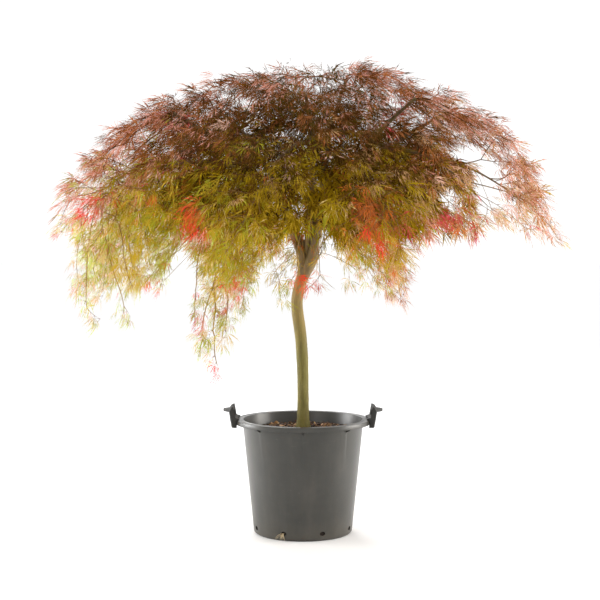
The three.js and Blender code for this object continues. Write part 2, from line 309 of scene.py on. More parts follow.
# %% [markdown]
# ## The container
#
# The container is injection moulded: one thin tapered wall, a flat rim that turns down at its
# edge, a small chamfer round the foot and eight drainage holes just above it. Such a wall could
# be a cone with a Solidify modifier, but the rim needs its own section, so the whole section is
# drawn once and spun. The holes are then cut, and thin ribs are joined in under the rim.

# %% Container section
pot_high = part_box("pot")[1]
RIM_HEIGHT = pot_high.z
RIM_RADIUS = pot_high.x
MOUTH_RADIUS = 0.902 * RIM_RADIUS
FOOT_RADIUS = 0.729 * RIM_RADIUS
WALL = 0.0035
LIP = 0.015
CHAMFER = 0.007
FLOOR = 0.005
FOOT_RECESS = 0.002  # the middle of the underside stands this clear of the ground
RIM_GROOVE = 0.0012
MOULD_ROUNDING = 0.0011
AROUND = 128


def wall_radius(height):
    return FOOT_RADIUS + (MOUTH_RADIUS - FOOT_RADIUS) * height / RIM_HEIGHT


def container_section():
    """Radii and heights, from the middle of the underside up the wall and back inside."""
    return [
        (0, FOOT_RECESS),
        (FOOT_RADIUS - 0.020, FOOT_RECESS),
        (FOOT_RADIUS - 0.016, 0),
        (FOOT_RADIUS - CHAMFER, 0),
        (wall_radius(CHAMFER), CHAMFER),
        (wall_radius(RIM_HEIGHT * 0.5), RIM_HEIGHT * 0.5),
        (wall_radius(RIM_HEIGHT - WALL), RIM_HEIGHT - WALL),
        (RIM_RADIUS - WALL, RIM_HEIGHT - WALL),
        (RIM_RADIUS - WALL, RIM_HEIGHT - LIP),
        (RIM_RADIUS, RIM_HEIGHT - LIP),
        (RIM_RADIUS, RIM_HEIGHT),
        (RIM_RADIUS - 0.004, RIM_HEIGHT),
        (RIM_RADIUS - 0.006, RIM_HEIGHT - RIM_GROOVE),
        (MOUTH_RADIUS + 0.003, RIM_HEIGHT - RIM_GROOVE),
        (MOUTH_RADIUS + 0.001, RIM_HEIGHT),
        (MOUTH_RADIUS - WALL, RIM_HEIGHT),
        (wall_radius(RIM_HEIGHT * 0.5) - WALL, RIM_HEIGHT * 0.5),
        (wall_radius(FLOOR) - WALL, FLOOR),
        (0, FLOOR),
    ]


shell = spun(container_section(), AROUND)
round_edges(shell, MOULD_ROUNDING, 30)
print("container shell:", len(shell.faces), "faces")

# %% Drainage holes and ribs
HOLES = 8
HOLE_HEIGHT = 0.025
HOLE_RADIUS = 0.007
HOLE_OVAL = 1.4
DRILL_LENGTH = 0.04
RIB_DROP = 0.026
RIB_REACH = 0.017
RIB_THICKNESS = 0.004


def hole_drills():
    """Eight short oval bars that stand through the wall."""
    drills = bmesh.new()
    for i in range(HOLES):
        turn = Matrix.Rotation((i + 0.5) * math.tau / HOLES, 4, "Z")
        out = Matrix.Translation((0, wall_radius(HOLE_HEIGHT), HOLE_HEIGHT))
        lie = Matrix.Rotation(math.pi / 2, 4, "X") @ Matrix.Diagonal((HOLE_OVAL, 1, 1, 1))
        bmesh.ops.create_cone(
            drills, cap_ends=True, segments=24, radius1=HOLE_RADIUS, radius2=HOLE_RADIUS,
            depth=DRILL_LENGTH, matrix=turn @ out @ lie,
        )
    return drills


def rim_ribs():
    """Thin triangular ribs in the corner under the rim, but not under the handles."""
    ribs = bmesh.new()
    top = RIM_HEIGHT - WALL / 2
    foot = top - RIB_DROP
    low, high = (wall_radius(height) - WALL / 2 for height in (foot, top))
    corners = [(low, foot), (high + RIB_REACH, top - LIP), (high + RIB_REACH, top), (high, top)]
    for i in range(HOLES):
        if i % (HOLES // 2) == 0:
            continue
        side = [ribs.verts.new((x, -RIB_THICKNESS / 2, z)) for x, z in corners]
        grown = bmesh.ops.extrude_face_region(ribs, geom=[ribs.faces.new(side)])["geom"]
        far = [g for g in grown if isinstance(g, bmesh.types.BMVert)]
        bmesh.ops.translate(ribs, verts=far, vec=(0, RIB_THICKNESS, 0))
        turn = Matrix.Rotation(i * math.tau / HOLES, 4, "Z")
        bmesh.ops.transform(ribs, matrix=turn, verts=side + far)
    return ribs


pot_mesh = combined(mesh_from(shell, "container"), "DIFFERENCE", hole_drills())
pot_mesh = combined(pot_mesh, "UNION", rim_ribs())
pot_mesh.shade_smooth()
pot_mesh.set_sharp_from_angle(angle=math.radians(40))
print("container cut and ribbed:", len(pot_mesh.polygons), "faces")

# %% [markdown]
# ## Moulded plastic
#
# The plastic is recycled and dark grey, satin rather than shiny. Close to, it has a fine
# pebbled grain, faint flow marks that run up the wall, pale scuffs, and dust that gathers near
# the foot. A flat grey would look like paint, so noise at several sizes moves the colour and
# the roughness a little, and the grain is a bump of a fraction of a millimetre. The handles are
# moulded apart from the wall, in a darker and duller plastic, so one function makes both.

# %% Plastic finish
GREYS = ((0.30, (42, 42, 38)), (0.52, (52, 51, 46)), (0.75, (66, 63, 57)))
DUST_HEIGHT = 0.075


def moulded_plastic(name, shade, satin):
    """Grey plastic: shade scales its colours, and satin is its roughness where it is clean."""
    finish = Finish(name, IOR=1.49)
    mottle = finish.noise(9, detail=3.0)
    flow_marks = finish.noise(22, grain=(1, 1, 0.09), detail=5.0)
    grain = finish.noise(900, detail=2.0)
    scuffs = finish.ramp(
        finish.noise(55, grain=(1, 1, 2.5), detail=8.0, roughness=0.75),
        (0.60, BLACK), (0.74, WHITE),
    )
    body = finish.ramp(
        mottle * 0.55 + flow_marks * 0.45,
        *((stop, colour(*(shade * tone for tone in tones))) for stop, tones in GREYS),
    )
    scuffed = finish.mix(scuffs * 0.25, body, colour(116, 110, 100))
    dust = (1 - finish.height(0.0, DUST_HEIGHT)) * finish.noise(38, detail=5.0)
    finish.wear(
        Base_Color=finish.mix(dust * 0.3, scuffed, colour(112, 102, 86)),
        Roughness=satin + flow_marks * 0.14 + scuffs * 0.12 + dust * 0.2,
    )
    finish.bump(grain * 0.7 + flow_marks * 0.6, 0.0003, 0.5)
    return finish


plastic = moulded_plastic("moulded_plastic", 1.0, 0.27)
dark_plastic = moulded_plastic("dark_plastic", 0.65, 0.60)
add_piece("container", pot_mesh, [plastic], ["pot"])

# %% [markdown]
# ## The handles
#
# Two handles clip over the rim. Each is a thick leaning plate with a finger gap and a lip that
# curls outwards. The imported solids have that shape, but their edges are knife sharp, which no
# mould makes. A copy of each is welded, its flat triangles are merged into whole faces, and
# then its edges are rounded, so that they catch a line of light.

# %% Handles
HANDLE_ROUNDING = 0.0014


def softened_copy(node, width):
    """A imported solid's shape with rounded edges."""
    shape = bmesh.new()
    shape.from_mesh(nodes[node].data)
    bmesh.ops.remove_doubles(shape, verts=shape.verts, dist=1e-5)
    bmesh.ops.dissolve_limit(
        shape, angle_limit=math.radians(1), verts=shape.verts, edges=shape.edges)
    round_edges(shape, width, 24)
    return mesh_from(shape, node, 35)


for side in ("left", "right"):
    node = f"handle_{side}"
    handle = softened_copy(node, HANDLE_ROUNDING)
    add_piece(f"{side}_clip_handle", handle, [dark_plastic], [node])

# %% [markdown]
# ## The compost
#
# The compost lies about 35 mm below the rim. It is dark and crumbly, and chips of bark lie all
# over it. Its body is spun like the container, and noise lifts its top into clods. The chips
# are hundreds of copies of one small block, turned and scaled, so arrays lay them and join them.

# %% Compost surface
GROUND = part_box("soil")[1].z
CLOD_HEIGHT = 0.006
COMPOST_FOOT = 0.006
COMPOST_GAP = 0.0006  # between the compost and the wall
LEVEL_RADIUS = 0.06
EDGE_FALL = 0.006
RINGS = 46


def ground_height(radius):
    """The compost is flat round the stem and falls a little towards the wall."""
    edge = wall_radius(GROUND) - WALL
    share = max(0.0, (radius - LEVEL_RADIUS) / (edge - LEVEL_RADIUS))
    return GROUND - EDGE_FALL * share


def compost_shape():
    edge = wall_radius(GROUND) - WALL - COMPOST_GAP
    rings = [edge * i / RINGS for i in range(RINGS, 0, -1)]
    foot = wall_radius(COMPOST_FOOT) - WALL - COMPOST_GAP
    corners = [(0, COMPOST_FOOT), (foot, COMPOST_FOOT)]
    corners += [(radius, ground_height(radius)) for radius in rings]
    corners += [(0, GROUND)]
    shape = spun(corners, 120)
    for vert in shape.verts:
        inside = math.hypot(vert.co.x, vert.co.y) / edge
        if vert.co.z > GROUND / 2 and inside < 0.995:
            clods = noise.fractal(vert.co * 70, 0.9, 2.1, 5)
            vert.co.z += CLOD_HEIGHT * clods * min(1, (1 - inside) * 14)
    return shape


compost = Finish("crumbly_compost", Roughness=0.95)
crumbs = compost.noise(170, detail=8.0, roughness=0.7)
damp = compost.ramp(crumbs, (0.33, colour(12, 8, 5)), (0.70, colour(46, 32, 20)))
dry = compost.ramp(
    crumbs, (0.33, colour(28, 19, 12)), (0.52, colour(60, 42, 27)), (0.70, colour(108, 80, 52)))
compost.wear(Base_Color=compost.mix(compost.height(0.10, 0.24), damp, dry))
compost.bump(crumbs, 0.004)
bed = mesh_from(compost_shape(), "compost_bed", 80)
add_piece("compost_bed", bed, [compost], ["soil"])

# %% Many copies in one mesh


def joined_mesh(name, points, triangles, slots):
    """One mesh of many copies: points is copies by corners by 3, slots is copies by faces."""
    copies, corners = points.shape[:2]
    offsets = (np.arange(copies) * corners)[:, None, None]
    loops = (triangles[None] + offsets).reshape(-1)
    mesh = bpy.data.meshes.new(name)
    mesh.vertices.add(copies * corners)
    mesh.vertices.foreach_set("co", points.astype(np.float32).ravel())
    mesh.loops.add(len(loops))
    mesh.loops.foreach_set("vertex_index", loops.astype(np.int32))
    mesh.polygons.add(len(loops) // 3)
    mesh.polygons.foreach_set("loop_start", np.arange(0, len(loops), 3, dtype=np.int32))
    mesh.polygons.foreach_set("material_index", slots.astype(np.int32).ravel())
    mesh.update(calc_edges=True)
    mesh.validate()
    mesh.shade_smooth()
    return mesh


def as_triangles(shape):
    """The corners of a bmesh and its faces as triangles."""
    bmesh.ops.triangulate(shape, faces=shape.faces)
    bmesh.ops.recalc_face_normals(shape, faces=shape.faces)
    shape.verts.index_update()
    corners = np.array([vert.co for vert in shape.verts])
    triangles = np.array([[vert.index for vert in face.verts] for face in shape.faces])
    return corners, triangles


def unit(vectors):
    length = np.linalg.norm(vectors, axis=-1, keepdims=True)
    return vectors / np.maximum(length, 1e-9)


def turned(axis, side):
    """Rotation matrices whose columns are side, axis and the normal to both."""
    normal = unit(np.cross(side, axis))
    side = np.cross(axis, normal)
    return np.stack([side, axis, normal], axis=-1)


print("copy tools ready")

# %% Bark chips
CHIPS = 900
CHIP_LENGTH = 0.017
CHIP_MARGIN = 0.012
CHIP_LIFT = 0.006
CHIP_SEED = 11


def chip_shape():
    """A flat broken block with its edges knocked off."""
    shape = bmesh.new()
    bmesh.ops.create_cube(shape, size=1)
    bmesh.ops.scale(shape, vec=(0.55, 1, 0.22), verts=shape.verts)
    for vert in shape.verts:
        vert.co.x *= 1 + 0.5 * vert.co.y
        vert.co.y += 0.3 * vert.co.x
    bevel_edges(shape, shape.edges[:], 0.05, 1)
    return as_triangles(shape)


def chip_finish(name, dark, pale):
    finish = Finish(name, Roughness=0.85)
    fibres = finish.noise(420, grain=(1, 0.3, 1), detail=4.0)
    finish.wear(Base_Color=finish.ramp(fibres, (0.35, dark), (0.65, pale)))
    finish.bump(fibres, 0.0008)
    return finish


def scatter_chips(rng):
    corners, triangles = chip_shape()
    edge = wall_radius(GROUND) - WALL - CHIP_MARGIN
    radius = edge * np.sqrt(rng.uniform(0.035, 1, CHIPS))
    azimuth = rng.uniform(0, math.tau, CHIPS)
    heights = np.array([ground_height(r) for r in radius]) + rng.uniform(0, CHIP_LIFT, CHIPS)
    heights = heights - 0.004 * (radius > edge * 0.95)  # sunk a little along the wall
    centre = np.stack([radius * np.cos(azimuth), radius * np.sin(azimuth), heights], axis=1)
    along = unit(rng.normal(size=(CHIPS, 3)) * (1, 1, 0.3))
    across = unit(np.cross(UP + rng.normal(size=(CHIPS, 3)) * 0.3, along))
    size = CHIP_LENGTH * rng.uniform(0.35, 1.1, CHIPS)[:, None, None]
    points = centre[:, None] + size * np.einsum("nij,vj->nvi", turned(along, across), corners)
    kinds = rng.choice(4, CHIPS, p=[0.50, 0.26, 0.17, 0.07])
    return joined_mesh("chips", points, triangles, np.repeat(kinds[:, None], len(triangles), 1))


chip_finishes = [
    chip_finish("chip_dark", colour(34, 23, 13), colour(70, 48, 29)),
    chip_finish("chip_red_brown", colour(78, 50, 29), colour(122, 84, 50)),
    chip_finish("chip_tan", colour(122, 90, 54), colour(172, 136, 90)),
    chip_finish("chip_pale", colour(190, 152, 116), colour(232, 206, 176)),
]
chips = scatter_chips(np.random.default_rng(CHIP_SEED))
add_piece("bark_chips", chips, chip_finishes)

# %% [markdown]
# ## The wood's skeleton
#
# The limbs of the frame are plain tubes: rings of corners along a curve. The looks need the
# curve itself, so the corners are sorted along the limb's longest direction, and each cluster
# of corners is one ring. Its mean is a point of the centre line and its spread the radius.

# %% Centre lines
RING_GAP = 0.015
LINE_STEP = 0.01
FORK_STEPS = 6  # a bough's line starts this many steps down the stem, so the fork is a smooth Y
FOOT_SLIMMING = 0.7


def centre_line(node, root):
    """The middle of each ring of a limb and its radius, from the end nearer to root."""
    corners = np.array([vert.co for vert in nodes[node].data.vertices])
    corners = np.unique(corners.round(5), axis=0)
    middle = corners.mean(axis=0)
    direction = np.linalg.svd(corners - middle, full_matrices=False)[2][0]
    along = (corners - middle) @ direction
    order = np.argsort(along)
    cuts = np.flatnonzero(np.diff(along[order]) > RING_GAP) + 1
    rings = [ring for ring in np.split(corners[order], cuts) if len(ring) > 3]
    points = np.array([ring.mean(axis=0) for ring in rings])
    spreads = [np.linalg.norm(ring - ring.mean(axis=0), axis=1) for ring in rings]
    radii = np.array([np.median(spread) for spread in spreads])
    if np.linalg.norm(points[0] - root) > np.linalg.norm(points[-1] - root):
        points, radii = points[::-1], radii[::-1]
    return points, radii


def resampled(points, radii, spacing):
    """A smooth line through the points, cut into even steps, with the radius at each."""
    steps = np.linalg.norm(np.diff(points, axis=0), axis=1)
    at = np.concatenate([[0], np.cumsum(steps)])
    slopes = np.gradient(points, at, axis=0)
    count = max(2, round(at[-1] / spacing) + 1)
    wanted = np.linspace(0, at[-1], count)
    span = np.clip(np.searchsorted(at, wanted, side="right") - 1, 0, len(at) - 2)
    length = (at[span + 1] - at[span])[:, None]
    t = ((wanted - at[span]) / length[:, 0])[:, None]
    smooth = (
        (2 * t**3 - 3 * t**2 + 1) * points[span]
        + (t**3 - 2 * t**2 + t) * slopes[span] * length
        + (3 * t**2 - 2 * t**3) * points[span + 1]
        + (t**3 - t**2) * slopes[span + 1] * length
    )
    return smooth, np.interp(wanted, at, radii)


def joined_to(parent_points, points, radii, steps_back=0):
    """A limb's line that starts on its parent's centre line, a few steps nearer the root."""
    gaps = np.linalg.norm(parent_points - points[0], axis=1)
    start = parent_points[np.argmin(gaps) - steps_back]
    return np.vstack([start, points]), np.concatenate([radii[:1] * FOOT_SLIMMING, radii])


trunk_line = centre_line("trunk", np.zeros(3))
head = trunk_line[0][-1]
trunk_points = resampled(*trunk_line, LINE_STEP)[0]
limb_lines = {}
for node in sorted(nodes):
    if node.startswith("bough"):
        limb_lines[node] = joined_to(trunk_points, *centre_line(node, head), FORK_STEPS)
bough_points = np.vstack([resampled(*line, LINE_STEP)[0] for line in limb_lines.values()])
for node in sorted(nodes):
    if node.startswith("arm"):
        limb_lines[node] = joined_to(bough_points, *centre_line(node, head))
print("centre lines:", {node: len(line[0]) for node, line in limb_lines.items()})

# %% [markdown]
# ## Bark in relief
#
# A young maple's bark is smooth, but it isn't a machine's tube. It swells and narrows, fine
# ridges run up it, small raised pores cross it, and its foot spreads into the ground in soft
# lobes. A circle is extruded ring by ring along the centre line, which an operator does well,
# and then noise moves every corner along its normal, stretched along the wood.

# %% Limbs from rings


def ring_frames(points, radii):
    """A placing matrix for each ring, with no twist from one to the next."""
    tangents = unit(np.gradient(points, axis=0))
    normal = unit(np.cross(tangents[0], (0.0, 1.0, 0.1)))
    frames = []
    for point, tangent, radius in zip(points, tangents, radii):
        normal = unit(normal - tangent * np.dot(normal, tangent))
        columns = np.column_stack([normal, np.cross(tangent, normal), tangent]) * radius
        frames.append(Matrix.Translation(point) @ Matrix(columns).to_4x4())
    return frames


def sweep_limb(shape, points, radii, sides):
    """Extrudes a circle from point to point, and closes both ends."""
    frames = ring_frames(points, radii)
    ring = bmesh.ops.create_circle(
        shape, cap_ends=True, segments=sides, radius=1, matrix=frames[0])["verts"]
    edges = list({edge for vert in ring for edge in vert.link_edges})
    made = list(ring)
    for before, after in zip(frames, frames[1:]):
        grown = bmesh.ops.extrude_edge_only(shape, edges=edges)["geom"]
        ring = [item for item in grown if isinstance(item, bmesh.types.BMVert)]
        edges = [
            item for item in grown
            if isinstance(item, bmesh.types.BMEdge) and item.is_boundary
        ]
        bmesh.ops.transform(shape, matrix=after @ before.inverted(), verts=ring)
        made += ring
    bmesh.ops.contextual_create(shape, geom=edges)
    return made


print("limb sweep ready")

# %% Bark relief


def add_relief(shape, verts, depth):
    """Moves corners in and out: broad swellings, long fine ridges and small cross pores."""
    bmesh.ops.recalc_face_normals(shape, faces=shape.faces)
    shape.normal_update()
    moves = []
    for vert in verts:
        place = vert.co
        swelling = noise.noise(place * 14)
        ridges = noise.fractal(Vector((place.x * 260, place.y * 260, place.z * 34)), 0.9, 2.1, 3)
        pores = max(0, noise.noise(Vector((place.x * 150, place.y * 150, place.z * 620))) - 0.25)
        moves.append(vert.normal * depth * (0.9 * swelling + 0.45 * ridges + 0.9 * pores))
    for vert, move in zip(verts, moves):
        vert.co += move


print("bark relief ready")

# %% Stem
STEM_SIDES = 72
STEM_STEP = 0.0035
STEM_RELIEF = 0.0011
STEM_SINK = 0.004  # how far the stem's foot goes into the compost
ROOT_LOBES = 5
LOBE_DEPTH = 0.13
LOBE_HEIGHT = 0.022


def stem_shape():
    points, radii = resampled(*trunk_line, STEM_STEP)
    points[0, 2] = GROUND - STEM_SINK
    shape = bmesh.new()
    verts = sweep_limb(shape, points, radii, STEM_SIDES)
    add_relief(shape, verts, STEM_RELIEF)
    for vert in verts:
        low = math.exp(-(vert.co.z - GROUND) / LOBE_HEIGHT)
        turn = math.atan2(vert.co.y, vert.co.x)
        lobes = 1 + LOBE_DEPTH * low * math.sin(ROOT_LOBES * turn + 0.7)
        vert.co.x *= lobes
        vert.co.y *= lobes
    return shape


stem = stem_shape()
print("stem:", len(stem.faces), "faces")

# %% [markdown]
# ## Roots at a drain hole
#
# A plant that has stood long in its container sends roots out of the drainage holes. Here a
# small pale tuft has come out of one hole at the front and droops to the floor. Each root is
# swept along a few points like a limb, and thins to its tip.

# %% Root tuft
ROOTED_HOLE = 3
ROOTS = 12
ROOT_RADII = (0.0006, 0.0006, 0.0005, 0.0003)
ROOT_STEP = 0.003
ROOT_SEED = 17


def root_tuft(rng):
    """Fine pale roots that have grown out of one drain hole and droop to the floor."""
    shape = bmesh.new()
    turn = Matrix.Rotation((ROOTED_HOLE + 0.5) * math.tau / HOLES, 3, "Z")
    wall = wall_radius(HOLE_HEIGHT)
    for _ in range(ROOTS):
        drift = rng.uniform(-0.006, 0.030)
        lift, reach = rng.uniform(-0.003, 0.003, 2)
        line = [
            (0, wall - 0.006, HOLE_HEIGHT),
            (drift * 0.3, wall + 0.004, HOLE_HEIGHT - 0.002 + lift),
            (drift * 0.7, wall + 0.007 + reach, HOLE_HEIGHT - 0.009 + lift),
            (drift, wall + 0.005 + reach, 0.006 + lift),
        ]
        points = np.array([turn @ Vector(point) for point in line])
        sweep_limb(shape, *resampled(points, np.array(ROOT_RADII), ROOT_STEP), 5)
    return shape


roots = mesh_from(root_tuft(np.random.default_rng(ROOT_SEED)), "root_tuft", 60)
root_finish = chip_finish("root_pale", colour(164, 142, 108), colour(206, 190, 154))
add_piece("root_tuft", roots, [root_finish])

# %% [markdown]
# ## Bark colours
#
# Low down the stem is olive green with grey-brown painted shade in its grooves. Towards the crown
# the bark pales to a fawn pink, and the boughs and arms are browner and grow darker up inside the
# crown. Pale pores and thin streaks break it up. A ramp along the height carries each change: the
# stem's belongs to the wood and not to the light, but the boughs' darkening is painted shade under
# the leaves.

# %% Bark finish


def bark_finish(name, low, high, foot, top):
    """Bark that changes from one colour to another between two heights."""
    finish = Finish(name, IOR=1.45)
    streaks = finish.noise(120, grain=(1, 1, 0.10), detail=6.0, roughness=0.65)
    patches = finish.noise(26, grain=(1, 1, 0.5), detail=3.0)
    pores = finish.ramp(
        finish.noise(330, grain=(0.6, 0.6, 2.4), detail=2.0), (0.62, BLACK), (0.72, WHITE))
    # Painted shade: a dark grey-brown laid into the grooves of the streaks, where the bump is low.
    groove_shade = finish.ramp(streaks, (0.30, WHITE), (0.55, BLACK))
    blotches = finish.ramp(patches, (0.50, BLACK), (0.72, WHITE))
    climbing = finish.mix(finish.height(foot, top), low, high)
    shaded = finish.mix(groove_shade * 0.55, climbing, colour(66, 58, 26))
    washed = finish.mix(blotches * 0.35, shaded, colour(144, 134, 80))
    finish.wear(
        Base_Color=finish.mix(pores * 0.35, washed, colour(178, 166, 116)),
        Roughness=0.62 + streaks * 0.25,
    )
    finish.bump(streaks + pores * 0.6, 0.0008, 0.8)
    return finish


stem_bark = bark_finish("stem_bark", colour(112, 104, 46), colour(158, 132, 82), 0.60, 0.86)
# The boughs' bark darkens from 0.95 m up to 1.35 m, inside the crown: painted shade under the
# leaves.
bough_bark = bark_finish("bough_bark", colour(122, 100, 66), colour(96, 74, 46), 0.95, 1.35)
add_piece("stem", mesh_from(stem, "stem", 60), [stem_bark], ["trunk"])

# %% Boughs and arms
COLLAR = 0.15
COLLAR_LENGTH = 0.03


def limbs_shape(names, sides, spacing, depth, tip_share):
    """Limbs in relief, each with a small collar at its foot, that slim towards their tips."""
    shape = bmesh.new()
    for name in names:
        points, radii = resampled(*limb_lines[name], spacing)
        collar = 1 + COLLAR * np.exp(-np.arange(len(points)) * spacing / COLLAR_LENGTH)
        slimming = np.linspace(1, tip_share, len(points))
        verts = sweep_limb(shape, points, radii * collar * slimming, sides)
        add_relief(shape, verts, depth)
    return shape


bough_names = [name for name in limb_lines if name.startswith("bough")]
arm_names = [name for name in limb_lines if name.startswith("arm")]
boughs = mesh_from(limbs_shape(bough_names, 18, 0.010, 0.0009, 0.7), "boughs", 60)
arms = mesh_from(limbs_shape(arm_names, 12, 0.011, 0.0006, 0.2), "arms", 60)
add_piece("boughs", boughs, [bough_bark], bough_names)
add_piece("arms", arms, [bough_bark], arm_names)

# %% [markdown]
# ## Where the foliage is
#
# Each plain cushion of the frame says where one mass of leaves hangs. Marks are scattered
# inside the cushions, no two closer than a spacing, and the twigs will grow to them. Scattering
# alone would fill the cushions like stuffing, so fullness thins the marks: none above the
# crown's outline, few under its full part, and few in the holes that show sky. Towards the
# outside the marks are kept in clumps, which makes the single sprays of a ragged edge, and low
# down in strands, which makes the hanging ones. The space between the cushions gets marks of its
# own, set wider, and the curtains near the stem get a second scatter, as they hang in the open.

# %% Fullness of the crown
CROWN_MIDDLE = 0.90
CROWN_RISE = cad_high.z - CROWN_MIDDLE
CROWN_REACH = 0.86
FRINGE = 0.11

# The crown's upper outline from tip to tip, as the camera sees it: x and z.
CROWN_TOP = [
    (-0.87, 1.07), (-0.80, 1.17), (-0.75, 1.24), (-0.70, 1.28), (-0.65, 1.34), (-0.60, 1.41),
    (-0.50, 1.47), (-0.45, 1.50), (-0.35, 1.52), (-0.20, 1.55), (-0.15, 1.58), (-0.03, 1.58),
    (0.03, 1.56), (0.10, 1.60), (0.15, 1.61), (0.20, 1.60), (0.25, 1.56), (0.35, 1.53),
    (0.40, 1.49), (0.45, 1.48), (0.55, 1.48), (0.60, 1.44), (0.65, 1.40), (0.70, 1.32),
    (0.75, 1.25), (0.80, 1.17), (0.87, 1.05),
]

# Its hem: x, the height down to which it is full, and the height of its lowest sprays.
HEM = [
    (-0.87, 1.06, 0.96), (-0.80, 0.84, 0.76), (-0.75, 0.80, 0.72), (-0.70, 0.74, 0.54),
    (-0.65, 0.67, 0.52), (-0.60, 0.69, 0.60), (-0.55, 0.78, 0.72), (-0.50, 0.88, 0.75),
    (-0.45, 0.96, 0.72), (-0.40, 0.97, 0.70), (-0.36, 0.76, 0.52), (-0.31, 0.46, 0.34),
    (-0.24, 0.48, 0.36), (-0.20, 0.80, 0.58), (-0.15, 0.95, 0.66), (-0.10, 1.00, 0.66),
    (-0.05, 1.02, 0.68), (0.0, 1.04, 0.72), (0.05, 1.06, 0.73), (0.10, 1.08, 0.76),
    (0.15, 1.04, 0.74), (0.20, 1.00, 0.76), (0.25, 0.95, 0.73), (0.30, 0.80, 0.66),
    (0.35, 0.97, 0.70), (0.40, 1.05, 0.93), (0.50, 1.05, 0.93), (0.55, 1.06, 0.95),
    (0.60, 1.10, 0.97), (0.70, 1.10, 0.98), (0.75, 1.10, 0.96), (0.80, 1.05, 0.90),
    (0.87, 1.05, 0.87),
]

# Holes with sky behind them: x, z, half width, half height and how empty they are.
SKY_HOLES = [
    (0.62, 1.15, 0.045, 0.10, 1.0),
    (0.55, 1.26, 0.055, 0.030, 1.0),
    (0.50, 1.11, 0.05, 0.035, 0.9),
    (-0.405, 0.85, 0.05, 0.10, 1.0),
    (-0.110, 0.88, 0.045, 0.12, 0.7),
    (-0.045, 0.93, 0.025, 0.10, 0.7),
    (0.02, 0.95, 0.045, 0.09, 0.75),
    (0.085, 0.92, 0.035, 0.09, 0.8),
    (-0.775, 0.96, 0.030, 0.10, 0.5),
    (0.12, 0.88, 0.03, 0.06, 0.7),
    (0.22, 0.89, 0.025, 0.06, 0.6),
    (0.35, 0.97, 0.02, 0.09, 0.6),
]


def fullness(points):
    """How full of leaves the crown is at points, from 0 to 1, as the camera sees it."""
    x, z = seen_at(points)
    top = np.interp(x, *zip(*CROWN_TOP))
    places, full, lowest = zip(*HEM)
    low_edge = np.interp(x, places, lowest)
    full_edge = np.interp(x, places, full)
    share = np.clip((top - z) / FRINGE + 0.25, 0, 1)
    share *= np.clip((z - low_edge) / (full_edge - low_edge + 0.07), 0, 1)
    share *= np.interp(x, (-0.86, -0.68), (0.45, 1))
    for hole_x, hole_z, half_width, half_height, emptiness in SKY_HOLES:
        inside = ((x - hole_x) / half_width) ** 2 + ((z - hole_z) / half_height) ** 2 < 1
        share *= 1 - emptiness * inside
    return share


def umbrella_share(points):
    """0 in the crown's middle and 1 on the dome that it fills."""
    out = np.hypot(points[:, 0], points[:, 1]) / CROWN_REACH
    up = np.maximum(points[:, 2] - CROWN_MIDDLE, 0) / CROWN_RISE
    return np.hypot(out, up)


def umbrella_flow(points):
    """The way an arching shoot runs over the dome: outwards at the top, down at the rim."""
    out = unit(points * (1, 1, 0))
    radius = np.hypot(points[:, 0], points[:, 1])[:, None]
    height = np.maximum(points[:, 2] - CROWN_MIDDLE + 0.25, 0.25)[:, None]
    return unit(out * height / CROWN_RISE**2 - UP * (0.8 * radius / CROWN_REACH**2 + 0.1))


print("fullness ready")

# %% Marks inside the masses
MARK_SPACING = {"top": 0.037, "shoulder": 0.037, "skirt": 0.034, "curtain": 0.030}
INNER_SPACING = 0.052
TAIL_SPACING = 0.034
TRIES = 7  # points tried in each cube of the spacing
INNER_SHARE = 0.84
INNER_FLOOR = 0.80
INNER_FULL = 0.97
INNER_TRIES = 14000
MARK_SHRINK = 0.975
MARK_CLEARANCE = {"top": 0.0, "shoulder": 0.01, "skirt": 0.015, "curtain": 0.0}
MARK_SEED = 5
TAIL_SEED = 29
SHELL = 0.84
CLUMP_SIZE = 0.13
CLUMP_LIMIT = -0.28
CLUMP_RISE = 2.4
STRAND_TOP = 1.15
STRAND_LIMIT = -0.34
STRAND_RISE = 1.2
STRAND_MOST = 0.26
INNER_STRAND = 0.02
STREAK = (18, 18, 4)


def tier_of(node):
    return node.split("_")[1]


def points_inside(node, spacing, rng):
    """Points scattered through a closed solid, no two closer than the spacing."""
    mesh = nodes[node].data
    mesh.calc_loop_triangles()
    tree = BVHTree.FromPolygons(
        [vert.co for vert in mesh.vertices], [t.vertices for t in mesh.loop_triangles])
    low, high = (np.array(corner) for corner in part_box(node))
    tries = int(np.prod(high - low) / spacing**3 * TRIES)
    kept = np.empty((0, 3))
    for point in rng.uniform(low, high, (tries, 3)):
        if len(kept) and np.min(np.sum((kept - point) ** 2, axis=1)) < spacing**2:
            continue
        crossings, start = 0, Vector(point)
        while (hit := tree.ray_cast(start, Vector(UP))[0]) is not None:
            crossings += 1
            start = hit + Vector((0, 0, 1e-5))
        if crossings % 2:
            kept = np.vstack([kept, point])
    return kept


def is_kept(points, clearance, rng, tier):
    """Thins marks by fullness, and leaves clumps near the dome and strands near the hem."""
    full = fullness(points - UP * clearance)
    kept = rng.uniform(size=len(points)) < full
    shares = umbrella_share(points)
    for i, point in enumerate(points):
        if shares[i] > SHELL:
            clump = noise.noise(Vector(point) / CLUMP_SIZE)
            kept[i] &= clump > CLUMP_RISE * (shares[i] - SHELL) + CLUMP_LIMIT
        if point[2] < STRAND_TOP and tier != "curtain":
            strand = noise.noise(Vector(point * STREAK))
            rise = min(STRAND_RISE * (STRAND_TOP - point[2]), STRAND_MOST)
            kept[i] &= strand > rise + STRAND_LIMIT
            if tier == "inner" and point[2] < INNER_FULL:
                kept[i] &= strand > INNER_STRAND
    return kept


print("mark rules ready")

